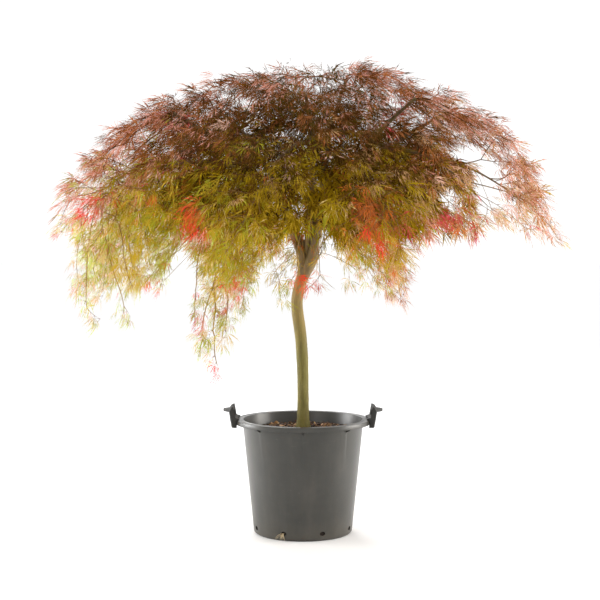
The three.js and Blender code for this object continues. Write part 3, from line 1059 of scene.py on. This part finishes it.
# %% Scattered marks
mark_rng = np.random.default_rng(MARK_SEED)
mass_nodes = sorted(node for node in nodes if node.startswith("foliage"))
marks, mark_tiers = [], []
middle = np.array([0, 0, CROWN_MIDDLE])
for node in mass_nodes:
    tier = tier_of(node)
    inside = points_inside(node, MARK_SPACING[tier], mark_rng)
    inside = middle + (inside - middle) * MARK_SHRINK
    inside = inside[is_kept(inside, MARK_CLEARANCE[tier], mark_rng, tier)]
    marks.append(inside)
    mark_tiers += [tier] * len(inside)

inner_low = (-CROWN_REACH, -CROWN_REACH, INNER_FLOOR)
inner_high = (CROWN_REACH, CROWN_REACH, cad_high.z)
inner = mark_rng.uniform(inner_low, inner_high, (INNER_TRIES, 3))
inner = inner[umbrella_share(inner) < INNER_SHARE]
outer = np.vstack(marks)
inner_kept = []
for point in inner[is_kept(inner, 0.0, mark_rng, "inner")]:
    others = np.vstack([outer] + inner_kept)
    if np.min(np.sum((others - point) ** 2, axis=1)) > INNER_SPACING**2:
        inner_kept.append(point[None])
marks += inner_kept
mark_tiers += ["shoulder"] * len(inner_kept)

tail_rng = np.random.default_rng(TAIL_SEED)
for node in mass_nodes:
    if tier_of(node) == "curtain":
        tail = points_inside(node, TAIL_SPACING, tail_rng)
        tail = tail[is_kept(tail, 0.0, tail_rng, "curtain")]
        marks.append(tail)
        mark_tiers += ["curtain"] * len(tail)
marks = np.vstack(marks)
mark_tiers = np.array(mark_tiers)
print("marks:", {tier: int((mark_tiers == tier).sum()) for tier in MARK_SPACING})

# %% [markdown]
# ## Twigs that grow
#
# Twigs could be drawn by a recursive rule with fixed angles, but then they fill no given shape.
# Space colonisation does: every mark pulls the nearest piece of wood, wood that is pulled grows
# one short step towards its marks, and a mark is spent when wood reaches it. Each step also
# keeps some of its old direction and leans down, as a weeping tree's shoots do.

# %% Growth
GROWTH_STEP = 0.021
GROWTH_REACH = 0.55
GROWTH_KILL = 0.026
STIFFNESS = 0.75
WEEPING = 0.22
HANGING = 0.5
RISING = 1.4
GROWTH_ROUNDS = 400
CELL = 0.45 * GROWTH_STEP  # no two new points share a cell of this size


def wood_skeleton():
    """The limbs as chains of points: their positions and their parents."""
    points, parents = [], []
    for name in bough_names + arm_names:
        for i, point in enumerate(resampled(*limb_lines[name], GROWTH_STEP)[0]):
            points.append(point)
            parents.append(len(points) - 2 if i else -1)
    return np.array(points), np.array(parents)


def pull_gaps(marks, points):
    """Distances from marks to wood, where wood upstream of a mark counts as nearer."""
    away = marks[:, None] - points[None]
    along = np.einsum("mpk,mk->mp", away, umbrella_flow(marks))
    stretch = np.where(along > 0, HANGING, RISING)
    return np.sqrt(np.sum(away**2, axis=2) - (1 - stretch**2) * along**2)


def grow(points, parents, marks):
    """Grows new points from the skeleton to the marks, and says which point met each mark."""
    headings = unit(points - points[np.maximum(parents, 0)])
    gaps = pull_gaps(marks, points)
    nearest, distance = gaps.argmin(axis=1), gaps.min(axis=1)
    waiting = np.ones(len(marks), bool)
    reached = np.full(len(marks), -1)
    crowded = set()
    for _ in range(GROWTH_ROUNDS):
        pulled = waiting & (distance < GROWTH_REACH)
        if not pulled.any():
            break
        pull = np.zeros_like(points)
        np.add.at(pull, nearest[pulled], unit(marks[pulled] - points[nearest[pulled]]))
        growing = np.unique(nearest[pulled])
        heading = unit(pull[growing]) + STIFFNESS * headings[growing]
        heading = unit(heading + WEEPING * umbrella_flow(points[growing]))
        fresh = points[growing] + GROWTH_STEP * heading
        cells = [tuple(cell) for cell in np.floor(fresh / CELL).astype(int)]
        room = np.array([cell not in crowded for cell in cells])
        blocked = np.isin(nearest, growing[~room]) & pulled
        reached[blocked] = nearest[blocked]
        waiting &= ~blocked
        if not room.any():
            continue
        crowded.update(cells)
        first = len(points)
        points = np.vstack([points, fresh[room]])
        parents = np.concatenate([parents, growing[room]])
        headings = np.vstack([headings, heading[room]])
        gaps = pull_gaps(marks, fresh[room])
        closer = gaps.min(axis=1) < distance
        nearest[closer] = first + gaps.argmin(axis=1)[closer]
        distance = np.minimum(distance, gaps.min(axis=1))
        met = waiting & (np.linalg.norm(marks - points[nearest], axis=1) < GROWTH_KILL)
        reached[met] = nearest[met]
        waiting &= ~met
    return points, parents, reached


limb_points, limb_parents = wood_skeleton()
LIMB_COUNT = len(limb_points)
twig_points, twig_parents, mark_wood = grow(limb_points, limb_parents, marks)
print("wood points:", LIMB_COUNT, "->", len(twig_points))
print("unmet marks:", int((mark_wood < 0).sum()))

# %% [markdown]
# ## Twig sizes
#
# A twig is as thick as what it carries. Each mark that was met is one spray of leaves, and the
# sprays are counted back down the wood. The radius grows with a root of that count. Wood that
# leads to no spray is dropped, and the rest is smoothed, because growth by fixed steps leaves
# small zigzags.

# %% Loads, smoothing and chains
TWIG_RADIUS = 0.0008
TWIG_GROWTH = 0.36
THINNEST_FULLNESS = 0.08
SMOOTHING_ROUNDS = 3


def loads_of(parents, reached):
    """How many sprays each point carries. A parent always comes before its children."""
    loads = np.bincount(reached[reached >= 0], minlength=len(parents)).astype(float)
    for i in range(len(parents) - 1, -1, -1):
        if parents[i] >= 0:
            loads[parents[i]] += loads[i]
    return loads


def smoothed(points, parents, rounds):
    """Pulls each twig point towards the middle of its neighbours."""
    free = np.arange(LIMB_COUNT, len(points))
    for _ in range(rounds):
        child_sum = np.zeros_like(points)
        child_count = np.zeros(len(points))
        np.add.at(child_sum, parents[free], points[free])
        np.add.at(child_count, parents[free], 1)
        total = points[parents[free]] + child_sum[free]
        middle = total / (1 + child_count[free])[:, None]
        inner = child_count[free] > 0
        points[free[inner]] = 0.5 * points[free[inner]] + 0.5 * middle[inner]
    return points


def chains_of(parents, loads):
    """Splits the twigs into chains: each follows its heaviest child to a tip."""
    children = [[] for _ in parents]
    for i in range(LIMB_COUNT, len(parents)):
        if loads[i] > 0:
            children[parents[i]].append(i)
    chains = []
    for i, own in enumerate(children):
        own.sort(key=lambda child: -loads[child])
        starts = own if i < LIMB_COUNT else own[1:]
        for start in starts:
            chain = [i, start]
            while children[chain[-1]]:
                chain.append(children[chain[-1]][0])
            chains.append(chain)
    return chains


mark_wood[fullness(twig_points[mark_wood]) < THINNEST_FULLNESS] = -1
twig_loads = loads_of(twig_parents, mark_wood)
twig_points = smoothed(twig_points, twig_parents, SMOOTHING_ROUNDS)
twig_chains = chains_of(twig_parents, twig_loads)
twig_radii = TWIG_RADIUS * np.maximum(twig_loads, 1) ** TWIG_GROWTH
print("twig chains:", len(twig_chains), "points:", sum(len(chain) for chain in twig_chains))

# %% [markdown]
# ## Twig meshes
#
# There are thousands of twigs, so each is a slim tube of three or five sides that closes to a
# point. Curves with a bevel would do it too, but their tubes can't be joined by tier as easily.
# The rings are worked out with arrays and written straight into one mesh for each tier.

# %% Twig tubes
STOUT_TWIG = 0.0028  # from this radius a twig has five sides, and below it three


def tube(points, radii, sides):
    """Corners and triangles of a closed tube that ends in a point."""
    tangents = unit(np.gradient(points, axis=0))
    normal = unit(np.cross(tangents[0], (0.3, 0.2, 0.9)))
    angles = np.arange(sides) * math.tau / sides
    rings = []
    for point, tangent, radius in zip(points[:-1], tangents, radii):
        normal = unit(normal - tangent * np.dot(normal, tangent))
        across = np.cross(tangent, normal)
        ring = np.outer(np.cos(angles), normal) + np.outer(np.sin(angles), across)
        rings.append(point + radius * ring)
    corners = np.vstack(rings + [points[-1:]])
    here = np.arange(sides)
    after = (here + 1) % sides
    faces = []
    for i in range(len(rings) - 1):
        low, high = i * sides, (i + 1) * sides
        faces.append(np.stack([low + here, low + after, high + after], axis=1))
        faces.append(np.stack([low + here, high + after, high + here], axis=1))
    last = (len(rings) - 1) * sides
    tip = np.full(sides, len(corners) - 1)
    faces.append(np.stack([last + here, last + after, tip], axis=1))
    cap = np.arange(1, sides - 1)
    faces.append(np.stack([cap * 0, cap + 1, cap], axis=1))
    return corners, np.vstack(faces)


def twig_mesh(name, chains):
    """The tubes of many twigs as one mesh. A twig's foot is no thicker than its next point."""
    corners, faces, count = [], [], 0
    for chain in chains:
        radii = twig_radii[chain].copy()
        radii[0] = radii[1]
        sides = 5 if radii[0] > STOUT_TWIG else 3
        points, triangles = tube(twig_points[chain], radii, sides)
        corners.append(points)
        faces.append(triangles + count)
        count += len(points)
    corners = np.vstack(corners)[None]
    faces = np.vstack(faces)
    return joined_mesh(name, corners, faces, np.zeros((1, len(faces)), int))


def chain_tiers():
    """The tier of each chain: that of the marks that its own points met, or of its tip."""
    point_tier = {}
    for tier, wood in zip(mark_tiers, mark_wood):
        if wood >= 0:
            point_tier[int(wood)] = tier
    tiers = []
    for chain in twig_chains:
        met = [point_tier[i] for i in reversed(chain) if i in point_tier]
        tiers.append(met[0] if met else "shoulder")
    return tiers


print("twig tools ready")

# %% Twig finish and pieces
twig_finish = Finish("twig_bark", Roughness=0.8, Specular_IOR_Level=0.05)
twig_shade = twig_finish.noise(60, grain=(1, 1, 0.4), detail=3.0)
# The twigs high inside the crown are darker than the hanging ones below: painted shade under the
# leaves.
hanging_twig, shaded_inner_twig = (
    twig_finish.ramp(twig_shade, (0.35, colour(*dark)), (0.65, colour(*pale)))
    for dark, pale in (((128, 96, 52), (172, 144, 88)), ((62, 38, 18), (104, 74, 38)))
)
twig_finish.wear(
    Base_Color=twig_finish.mix(twig_finish.height(0.95, 1.25), hanging_twig, shaded_inner_twig))
tiers_of_chains = chain_tiers()
for tier in MARK_SPACING:
    own = [chain for chain, its in zip(twig_chains, tiers_of_chains) if its == tier]
    add_piece(f"twigs_{tier}", twig_mesh(f"twigs_{tier}", own), [twig_finish])

# %% [markdown]
# ## One leaf
#
# A laceleaf's leaf is a hand of seven long fingers on a thin stalk, and each finger is cut
# again into fine side points, like a feather. One finger is modelled flat: a narrow strip that
# is drawn to a point at both ends, and a fine triangle for each side point. It is copied round
# the hand. An outline cut from a card would need an alpha picture, and real outlines don't.
# Deep in the crown only glimpses of a leaf are seen, so there the fingers are plain and broader.

# %% Leaf templates
# A finger is its turn from the middle one in degrees and its length. A row is a place along it
# and half its width there.
FINGERS = [(-84, 0.60), (-54, 0.80), (-26, 0.94), (0, 1.0), (26, 0.94), (54, 0.80), (84, 0.60)]
LACE_ROWS = [(0.0, 0.0), (0.32, 0.025), (0.68, 0.022), (1.0, 0.0)]
HEART_ROWS = [(0.0, 0.0), (0.50, 0.055), (1.0, 0.0)]
SIDE_POINTS = [(0.34, 0.19), (0.58, 0.19)]  # where along the finger, and how long
SIDE_POINT_WIDTH = 0.036
SIDE_POINT_ANGLE = 28
POINT_ZONE = 0.55  # the outer part of a finger has a tint of its own


def finger_shape(rows, side_points):
    """A strip along Y, from point to point, with fine side points on both sides."""
    shape = bmesh.new()
    bmesh.ops.create_grid(shape, x_segments=1, y_segments=len(rows) - 1, size=1)
    levels = sorted({round(vert.co.y, 4) for vert in shape.verts})
    for vert in shape.verts:
        along, half = rows[levels.index(round(vert.co.y, 4))]
        vert.co = (math.copysign(half, vert.co.x), along, 0)
    bmesh.ops.remove_doubles(shape, verts=shape.verts, dist=1e-5)
    for along, length in side_points:
        for side in (-1, 1):
            lean = Matrix.Rotation(math.radians(-side * SIDE_POINT_ANGLE), 4, "Z")
            slim = Matrix.Diagonal((SIDE_POINT_WIDTH / 1.73, length / 1.5, 1, 1))
            rise = Matrix.Translation((0, 0.5, 0))
            bmesh.ops.create_circle(
                shape, cap_ends=True, segments=3, radius=1,
                matrix=Matrix.Translation((0, along, 0)) @ lean @ slim @ rise,
            )
    return shape


def leaf_template(rows, side_points):
    """A flat leaf: every corner's angle, reach and finger, its triangles and their zones."""
    finger_corners, finger_faces = as_triangles(finger_shape(rows, side_points))
    angles = np.arctan2(finger_corners[:, 0], finger_corners[:, 1])
    reaches = np.hypot(finger_corners[:, 0], finger_corners[:, 1])
    zones = (finger_corners[finger_faces].mean(axis=1)[:, 1] > POINT_ZONE).astype(int)
    count = len(FINGERS)
    turns, scales = np.array(FINGERS).T
    finger = np.repeat(np.arange(count), len(finger_corners))
    angle = np.tile(angles, count) + np.radians(turns)[finger]
    reach = np.tile(reaches, count) * scales[finger]
    faces = [finger_faces + i * len(finger_corners) for i in range(count)]
    return SimpleNamespace(
        angle=angle, reach=reach, finger=finger, faces=np.vstack(faces),
        zones=np.tile(zones, count),
    )


lace_leaf = leaf_template(LACE_ROWS, SIDE_POINTS)
heart_leaf = leaf_template(HEART_ROWS, [])
print("triangles in a lace leaf:", len(lace_leaf.faces), "in a heart leaf:", len(heart_leaf.faces))

# %% [markdown]
# ## Leaf tints
#
# The crown's colours change from the top down and from the outside in, and their lightness is
# partly painted light. Its heart and its middle as seen from the front are dark umber and olive,
# which is painted shade. Its top is brown and bronze with rose on the outside, the lower part is
# moss and yellow green on one side and fawn on the other, and the hanging tips are straw and
# salmon; the pale rose, salmon, straw and lime towards the rim are painted light, for light
# shining through the thin leaves at the edge. Every tint has a home in the crown, and each spray
# is dealt four tints, likelier the nearer their homes are: two for the hearts of its leaves and
# two for their points. A few sprays have turned red or orange early, and those have their own
# places.

# %% Tints
# Each tint: its colour, how often it is dealt, and its home in the crown. A home is an x, a
# height and a share of the way out to the crown's rim, each with its spread.
TINTS = {
    "umber": ((62, 40, 2), 8.0, (0.07, 0.32), (1.30, 0.17), (0.50, 0.38)),
    "drab": ((84, 66, 8), 6.0, (0.06, 0.34), (1.38, 0.15), (0.66, 0.38)),
    "sepia": ((84, 54, 8), 6.0, (0.04, 0.42), (1.34, 0.18), (0.66, 0.38)),
    "brown": ((112, 68, 26), 4.5, (0.0, 0.60), (1.40, 0.18), (0.84, 0.26)),
    "bronze": ((162, 98, 54), 5.0, (0.0, 0.80), (1.36, 0.22), (0.98, 0.20)),
    "rose": ((218, 152, 132), 5.5, (-0.10, 0.95), (1.34, 0.30), (1.06, 0.14)),
    "olive": ((124, 96, 6), 7.0, (0.06, 0.35), (1.18, 0.13), (0.45, 0.40)),
    "moss": ((156, 128, 14), 6.5, (-0.05, 0.52), (1.12, 0.13), (0.55, 0.36)),
    "gold": ((192, 160, 46), 6.0, (-0.12, 0.52), (1.04, 0.14), (0.65, 0.36)),
    "green": ((162, 158, 40), 5.0, (-0.34, 0.48), (0.96, 0.17), (0.75, 0.36)),
    "lime": ((200, 210, 104), 2.5, (-0.50, 0.38), (0.84, 0.18), (0.95, 0.34)),
    "straw": ((216, 188, 118), 3.6, (-0.05, 0.65), (0.90, 0.18), (0.90, 0.34)),
    "fawn": ((190, 146, 100), 4.5, (0.48, 0.42), (1.06, 0.22), (0.85, 0.32)),
    "salmon": ((228, 184, 162), 3.2, (0.15, 0.90), (0.84, 0.30), (1.00, 0.28)),
    "amber": ((204, 110, 48), 0.6, (0.15, 0.45), (1.00, 0.18), (0.70, 0.40)),
    "scarlet": ((232, 74, 54), 0.08, (0.0, 0.80), (0.85, 0.30), (1.00, 0.40)),
    "crimson": ((208, 64, 80), 0.06, (0.0, 0.90), (1.15, 0.40), (1.00, 0.40)),
    "stalk": ((140, 84, 54), 0.0, (0.0, 1.0), (1.0, 1.0), (1.0, 1.0)),
}
TINT_NAMES = list(TINTS)

# Sprays that have turned early, as the camera sees them: x, z, reach and their two tints. They
# reach back only to a little behind the stem.
TURNED_DEPTH = 0.2
TURNED = [
    (-0.74, 1.09, 0.016, ("scarlet", "scarlet")),
    (-0.71, 1.11, 0.016, ("scarlet", "salmon")),
    (-0.68, 1.13, 0.016, ("scarlet", "scarlet")),
    (-0.65, 1.15, 0.016, ("scarlet", "rose")),
    (-0.32, 1.00, 0.026, ("scarlet", "salmon")),
    (-0.32, 1.07, 0.026, ("amber", "scarlet")),
    (-0.285, 0.565, 0.040, ("scarlet", "crimson")),
    (-0.26, 0.64, 0.030, ("bronze", "salmon")),
    (-0.33, 0.72, 0.030, ("salmon", "crimson")),
    (-0.26, 0.78, 0.030, ("amber", "bronze")),
    (-0.42, 0.80, 0.030, ("crimson", "salmon")),
    (-0.21, 0.84, 0.028, ("scarlet", "salmon")),
    (-0.23, 0.70, 0.030, ("crimson", "salmon")),
    (0.25, 0.98, 0.030, ("scarlet", "amber")),
    (0.32, 1.08, 0.030, ("bronze", "crimson")),
    (0.33, 1.00, 0.030, ("bronze", "crimson")),
    (0.32, 0.80, 0.040, ("bronze", "salmon")),
    (0.40, 1.03, 0.030, ("bronze", "rose")),
    (0.46, 1.05, 0.030, ("crimson", "bronze")),
    (0.52, 1.01, 0.030, ("bronze", "crimson")),
    (0.29, 0.88, 0.034, ("amber", "salmon")),
    (0.28, 1.41, 0.020, ("crimson", "rose")),
    (0.50, 1.33, 0.020, ("crimson", "rose")),
    (0.58, 0.98, 0.026, ("crimson", "salmon")),
    (-0.82, 0.99, 0.030, ("crimson", "salmon")),
    (-0.50, 0.84, 0.030, ("amber", "scarlet")),
    (-0.57, 0.90, 0.060, ("gold", "gold")),
    (-0.70, 0.92, 0.030, ("lime", "lime")),
    (0.01, 0.86, 0.040, ("scarlet", "amber")),
    (0.20, 1.10, 0.045, ("amber", "bronze")),
]


def tint_weights(place):
    """How often each tint is dealt at a place: an x, a height and a share of the way out."""
    weights = []
    for shade, often, *homes in TINTS.values():
        away = sum(((at - home) / spread) ** 2 for at, (home, spread) in zip(place, homes))
        weights.append(often * math.exp(-away))
    return np.array(weights) / sum(weights)


def tints_for(point, rng):
    """The four tints of a spray: two for the hearts of its leaves and two for their points."""
    x, z = (float(value[0]) for value in seen_at(point[None]))
    for spot_x, spot_z, reach, names in TURNED:
        if point[1] < TURNED_DEPTH and math.hypot(x - spot_x, z - spot_z) < reach:
            return [TINT_NAMES.index(name) for name in names] * 2
    # How far out a spray is sets how light its tints are: dark in the crown's middle, painted
    # shade, and pale at its rim, painted light. The points of its leaves take the tints of a place
    # a little further out.
    rim = math.hypot(x / CROWN_REACH, max(z - CROWN_MIDDLE, 0) / CROWN_RISE)
    share = 0.75 * rim + 0.25 * umbrella_share(point[None])[0]
    heart = tint_weights((x, z, share))
    points = tint_weights((x * 1.06, z - 0.03, share + 0.10))
    return [rng.choice(len(TINTS), p=weights) for weights in (heart, points, heart, points)]


leaf_finishes = [
    Finish(
        f"leaf_{name}", Base_Color=colour(*shade), Roughness=0.7, Specular_IOR_Level=0.03)
    for name, (shade, *_) in TINTS.items()
]
print("tints:", len(leaf_finishes))

# %% [markdown]
# ## Leaves on the twigs
#
# Leaves stand in opposite pairs along the thin wood, each pair turned against the one before
# it, and one more leaf ends the twig. A leaf points along its twig and with the flow of the
# dome. Its fingers then bend further that way, more towards their points, as limp leaves hang.

# %% Leaf places
LEAF_LENGTH = 0.070
STALK = 0.018
STALK_RADIUS = 0.0007
LEAF_SEED = 23
BARE_STEP = 5  # outside the heart every fifth point of the stouter twigs bears no leaves
PAIR_ROLL = 1.1  # radians between one pair of leaves and the next
HEM_HEIGHT = 1.08  # below it the leaves grow shorter
LEAFY_LOAD = 12
HEART_LEAFY_LOAD = 60
HEART_SHARE = 0.76
HEART_FLOOR = 1.02


def in_heart(points):
    """Whether points are deep in the crown, where only glimpses of a leaf are seen."""
    return (umbrella_share(points) < HEART_SHARE) & (points[:, 2] > HEART_FLOOR)


def leaf_places():
    """For every leaf: its wood point, its side of the twig and the roll of its pair."""
    place = np.arange(len(twig_points))
    heart = in_heart(twig_points)
    most = np.where(heart | (twig_points[:, 2] < HEART_FLOOR), HEART_LEAFY_LOAD, LEAFY_LOAD)
    leafy = (twig_loads > 0) & (twig_loads <= most) & (place >= LIMB_COUNT)
    leafy &= (place % BARE_STEP > 0) | (twig_loads < 3) | heart
    leafy = np.flatnonzero(leafy)
    tips = np.unique(mark_wood[mark_wood >= LIMB_COUNT])
    wood = np.concatenate([leafy, leafy, tips])
    sides = np.concatenate([-np.ones(len(leafy)), np.ones(len(leafy)), np.zeros(len(tips))])
    rolls = (wood % 2) * PAIR_ROLL - PAIR_ROLL / 2
    return wood, sides, rolls


def nearest_mark(points):
    return np.array([np.argmin(np.sum((marks - point) ** 2, axis=1)) for point in points])


def leaf_frames(wood, sides, rolls, rng):
    """Where each leaf starts, and which way its middle finger and its side look."""
    count = len(wood)
    start = twig_points[wood]
    along = unit(start - twig_points[twig_parents[wood]])
    flow = umbrella_flow(start)
    level = unit(np.cross(along, UP) + 1e-4)
    upright = np.cross(level, along)
    across = level * np.cos(rolls)[:, None] + upright * np.sin(rolls)[:, None]
    jitter = rng.normal(size=(count, 3))
    axis = 0.5 * along + 0.9 * flow + 0.75 * across * sides[:, None] + 0.4 * jitter
    axis[:, 2] = np.where(axis[:, 2] > 0, 0.3 * axis[:, 2], axis[:, 2])
    axis = unit(axis)
    out = unit(start * (1, 1, 0))
    face = UP + 0.7 * out + 0.6 * rng.normal(size=(count, 3))
    side = unit(np.cross(axis, face))
    base = start + STALK * unit(axis + 0.25 * UP + 0.2 * jitter)
    return start, base, axis, side, flow


def bent_leaves(template, chosen):
    """Every corner of the chosen leaves. Each finger turns, curls and bends in its own way."""
    pick = np.ix_(chosen, template.finger)
    angle = template.angle * spreads[chosen][:, None] + turns[pick] + curls[pick] * template.reach
    reach = template.reach * scales[pick]
    flat = np.sin(angle)[..., None] * leaf_sides[chosen][:, None]
    flat = flat + np.cos(angle)[..., None] * axes[chosen][:, None]
    bend = (droops[chosen][:, None] * bends[pick] * template.reach)[..., None]
    heading = unit(flat + bend * pulls[chosen][:, None])
    return bases[chosen][:, None] + (lengths[chosen][:, None] * reach)[..., None] * heading


def stalk_spikes(start, base):
    """A thin three-sided spike from the twig to the foot of each leaf."""
    along = unit(base - start)
    first = unit(np.cross(along, (0.31, 0.17, 0.93)))
    second = np.cross(along, first)
    turns = [(1, 0), (-0.5, 0.87), (-0.5, -0.87)]
    ring = [start + STALK_RADIUS * (a * first + b * second) for a, b in turns]
    return np.stack(ring + [base], axis=1)


print("leaf rules ready")

# %% Draws for every leaf
leaf_rng = np.random.default_rng(LEAF_SEED)
leaf_wood, pair_sides, pair_rolls = leaf_places()
starts, bases, axes, leaf_sides, flows = leaf_frames(leaf_wood, pair_sides, pair_rolls, leaf_rng)
leaf_count = len(leaf_wood)
hanging = np.clip((HEM_HEIGHT - starts[:, 2]) / 0.2, 0, 1)
lengths = LEAF_LENGTH * leaf_rng.uniform(0.7, 1.2, leaf_count) * (1 - 0.27 * hanging)
droops = leaf_rng.uniform(0.7, 1.7, leaf_count)
heart = in_heart(starts)
spreads = leaf_rng.uniform(0.5, 1.0, leaf_count) + 0.25 * heart
pulls = unit(flows - 0.25 * UP + 0.40 * leaf_rng.normal(size=(leaf_count, 3)))
fingers = (leaf_count, len(FINGERS))
turns = leaf_rng.normal(0, 0.16, fingers)
curls = leaf_rng.normal(0, 0.22, fingers)
scales = leaf_rng.uniform(0.6, 1.15, fingers)
bends = leaf_rng.uniform(0.3, 1.7, fingers)
leaf_spray = nearest_mark(starts)
tiers = mark_tiers[leaf_spray]
leaf_middles = bases + 0.5 * lengths[:, None] * unit(axes + pulls)
needed = leaf_rng.uniform(0.02, 0.35 + 0.15 * hanging, leaf_count)
shown = fullness(leaf_middles) > needed
print("leaves:", int(shown.sum()), "of", leaf_count, "in the heart:", int((shown & heart).sum()))

# %% Leaf meshes
SPIKE_FACES = np.array([[0, 1, 3], [1, 2, 3], [2, 0, 3], [0, 2, 1]])
STALK_SLOT = TINT_NAMES.index("stalk")


def leaf_mesh(name, template, chosen):
    """The leaves of one part of the crown, with their stalks, as one mesh."""
    blades = bent_leaves(template, chosen)
    points = np.concatenate([blades, stalk_spikes(starts[chosen], bases[chosen])], axis=1)
    faces = np.vstack([template.faces, SPIKE_FACES + blades.shape[1]])
    tints = spray_tints[leaf_spray[chosen]].reshape(-1, 2, 2)
    tints = tints[np.arange(len(chosen)), chosen % 2]
    blade_slots = tints[:, template.zones]
    spike_slots = np.full((len(chosen), len(SPIKE_FACES)), STALK_SLOT)
    return joined_mesh(name, points, faces, np.hstack([blade_slots, spike_slots]))


spray_tints = np.array([tints_for(mark, leaf_rng) for mark in marks])
near, right = starts[:, 1] < 0, starts[:, 0] > 0
hem = np.isin(tiers, ("skirt", "curtain")) & ~heart
dome = ~hem & ~heart
LEAF_PIECES = {
    "leaves_dome_near_left": (dome & near & ~right, lace_leaf, "leaf_bronze", "top"),
    "leaves_dome_near_right": (dome & near & right, lace_leaf, "leaf_bronze", "shoulder"),
    "leaves_dome_far_left": (dome & ~near & ~right, lace_leaf, "leaf_bronze", None),
    "leaves_dome_far_right": (dome & ~near & right, lace_leaf, "leaf_bronze", None),
    "leaves_heart": (heart, heart_leaf, "leaf_bronze", None),
    "leaves_hem_near": (hem & near, lace_leaf, "leaf_green", "skirt"),
    "leaves_hem_far": (hem & ~near, lace_leaf, "leaf_green", "curtain"),
}
for name, (where, template, slot, tier) in LEAF_PIECES.items():
    masses = [node for node in mass_nodes if tier_of(node) == tier]
    mesh = leaf_mesh(name, template, np.flatnonzero(shown & where))
    add_piece(name, mesh, leaf_finishes, masses)

# %% [markdown]
# ## The studio
#
# The plant stands on a plain pale floor in soft white light from all round. A large soft lamp high
# behind it and a weaker one in front shape the crown, and the leaf tints add painted light to the
# leaves at its edge and painted shade to its middle. A low lamp on each side lights the hem and
# the container's flanks.
# The floor isn't part of the object.

# %% Floor and sky
floor_shape = bmesh.new()
bmesh.ops.create_grid(floor_shape, x_segments=1, y_segments=1, size=30)
floor_mesh = bpy.data.meshes.new("studio_floor")
floor_shape.to_mesh(floor_mesh)
floor_shape.free()
floor_finish = Finish("pale_floor", Base_Color=(0.93, 0.93, 0.93, 1), Roughness=0.9)
floor_mesh.materials.append(floor_finish.material)
floor = bpy.data.objects.new("studio_floor", floor_mesh)
scene.collection.objects.link(floor)

world = bpy.data.worlds.new("soft_studio")
world.use_nodes = True
background = world.node_tree.nodes["Background"]
background.inputs["Color"].default_value = WHITE
background.inputs["Strength"].default_value = 1.08
scene.world = world
scene.view_settings.view_transform = "Standard"
print("floor and sky ready")

# %% Lamps


def soft_lamp(name, place, size, power, tone):
    """A square lamp that looks at the middle of the crown."""
    data = bpy.data.lights.new(name, "AREA")
    data.color = tone
    data.size = size
    data.energy = power
    lamp = bpy.data.objects.new(name, data)
    lamp.location = place
    aim = Vector((0, 0, CROWN_MIDDLE)) - Vector(place)
    lamp.rotation_euler = aim.to_track_quat("-Z", "Y").to_euler()
    scene.collection.objects.link(lamp)


# Each lamp: its place, size, power and tone.
LAMPS = {
    "back_lamp": ((-1.2, 4.0, 3.6), 2.5, 140, (1, 1, 1)),
    "front_lamp": ((-2.5, -4.0, 2.6), 2.0, 40, (1, 1, 1)),
    "left_lamp": ((-3.0, 0.6, 0.6), 1.6, 105, (1, 1, 1)),
    "right_lamp": ((3.0, 0.1, 0.6), 1.6, 105, (1, 0.96, 0.90)),
}
for name, lamp_values in LAMPS.items():
    soft_lamp(name, *lamp_values)
print("lamps:", len(LAMPS))
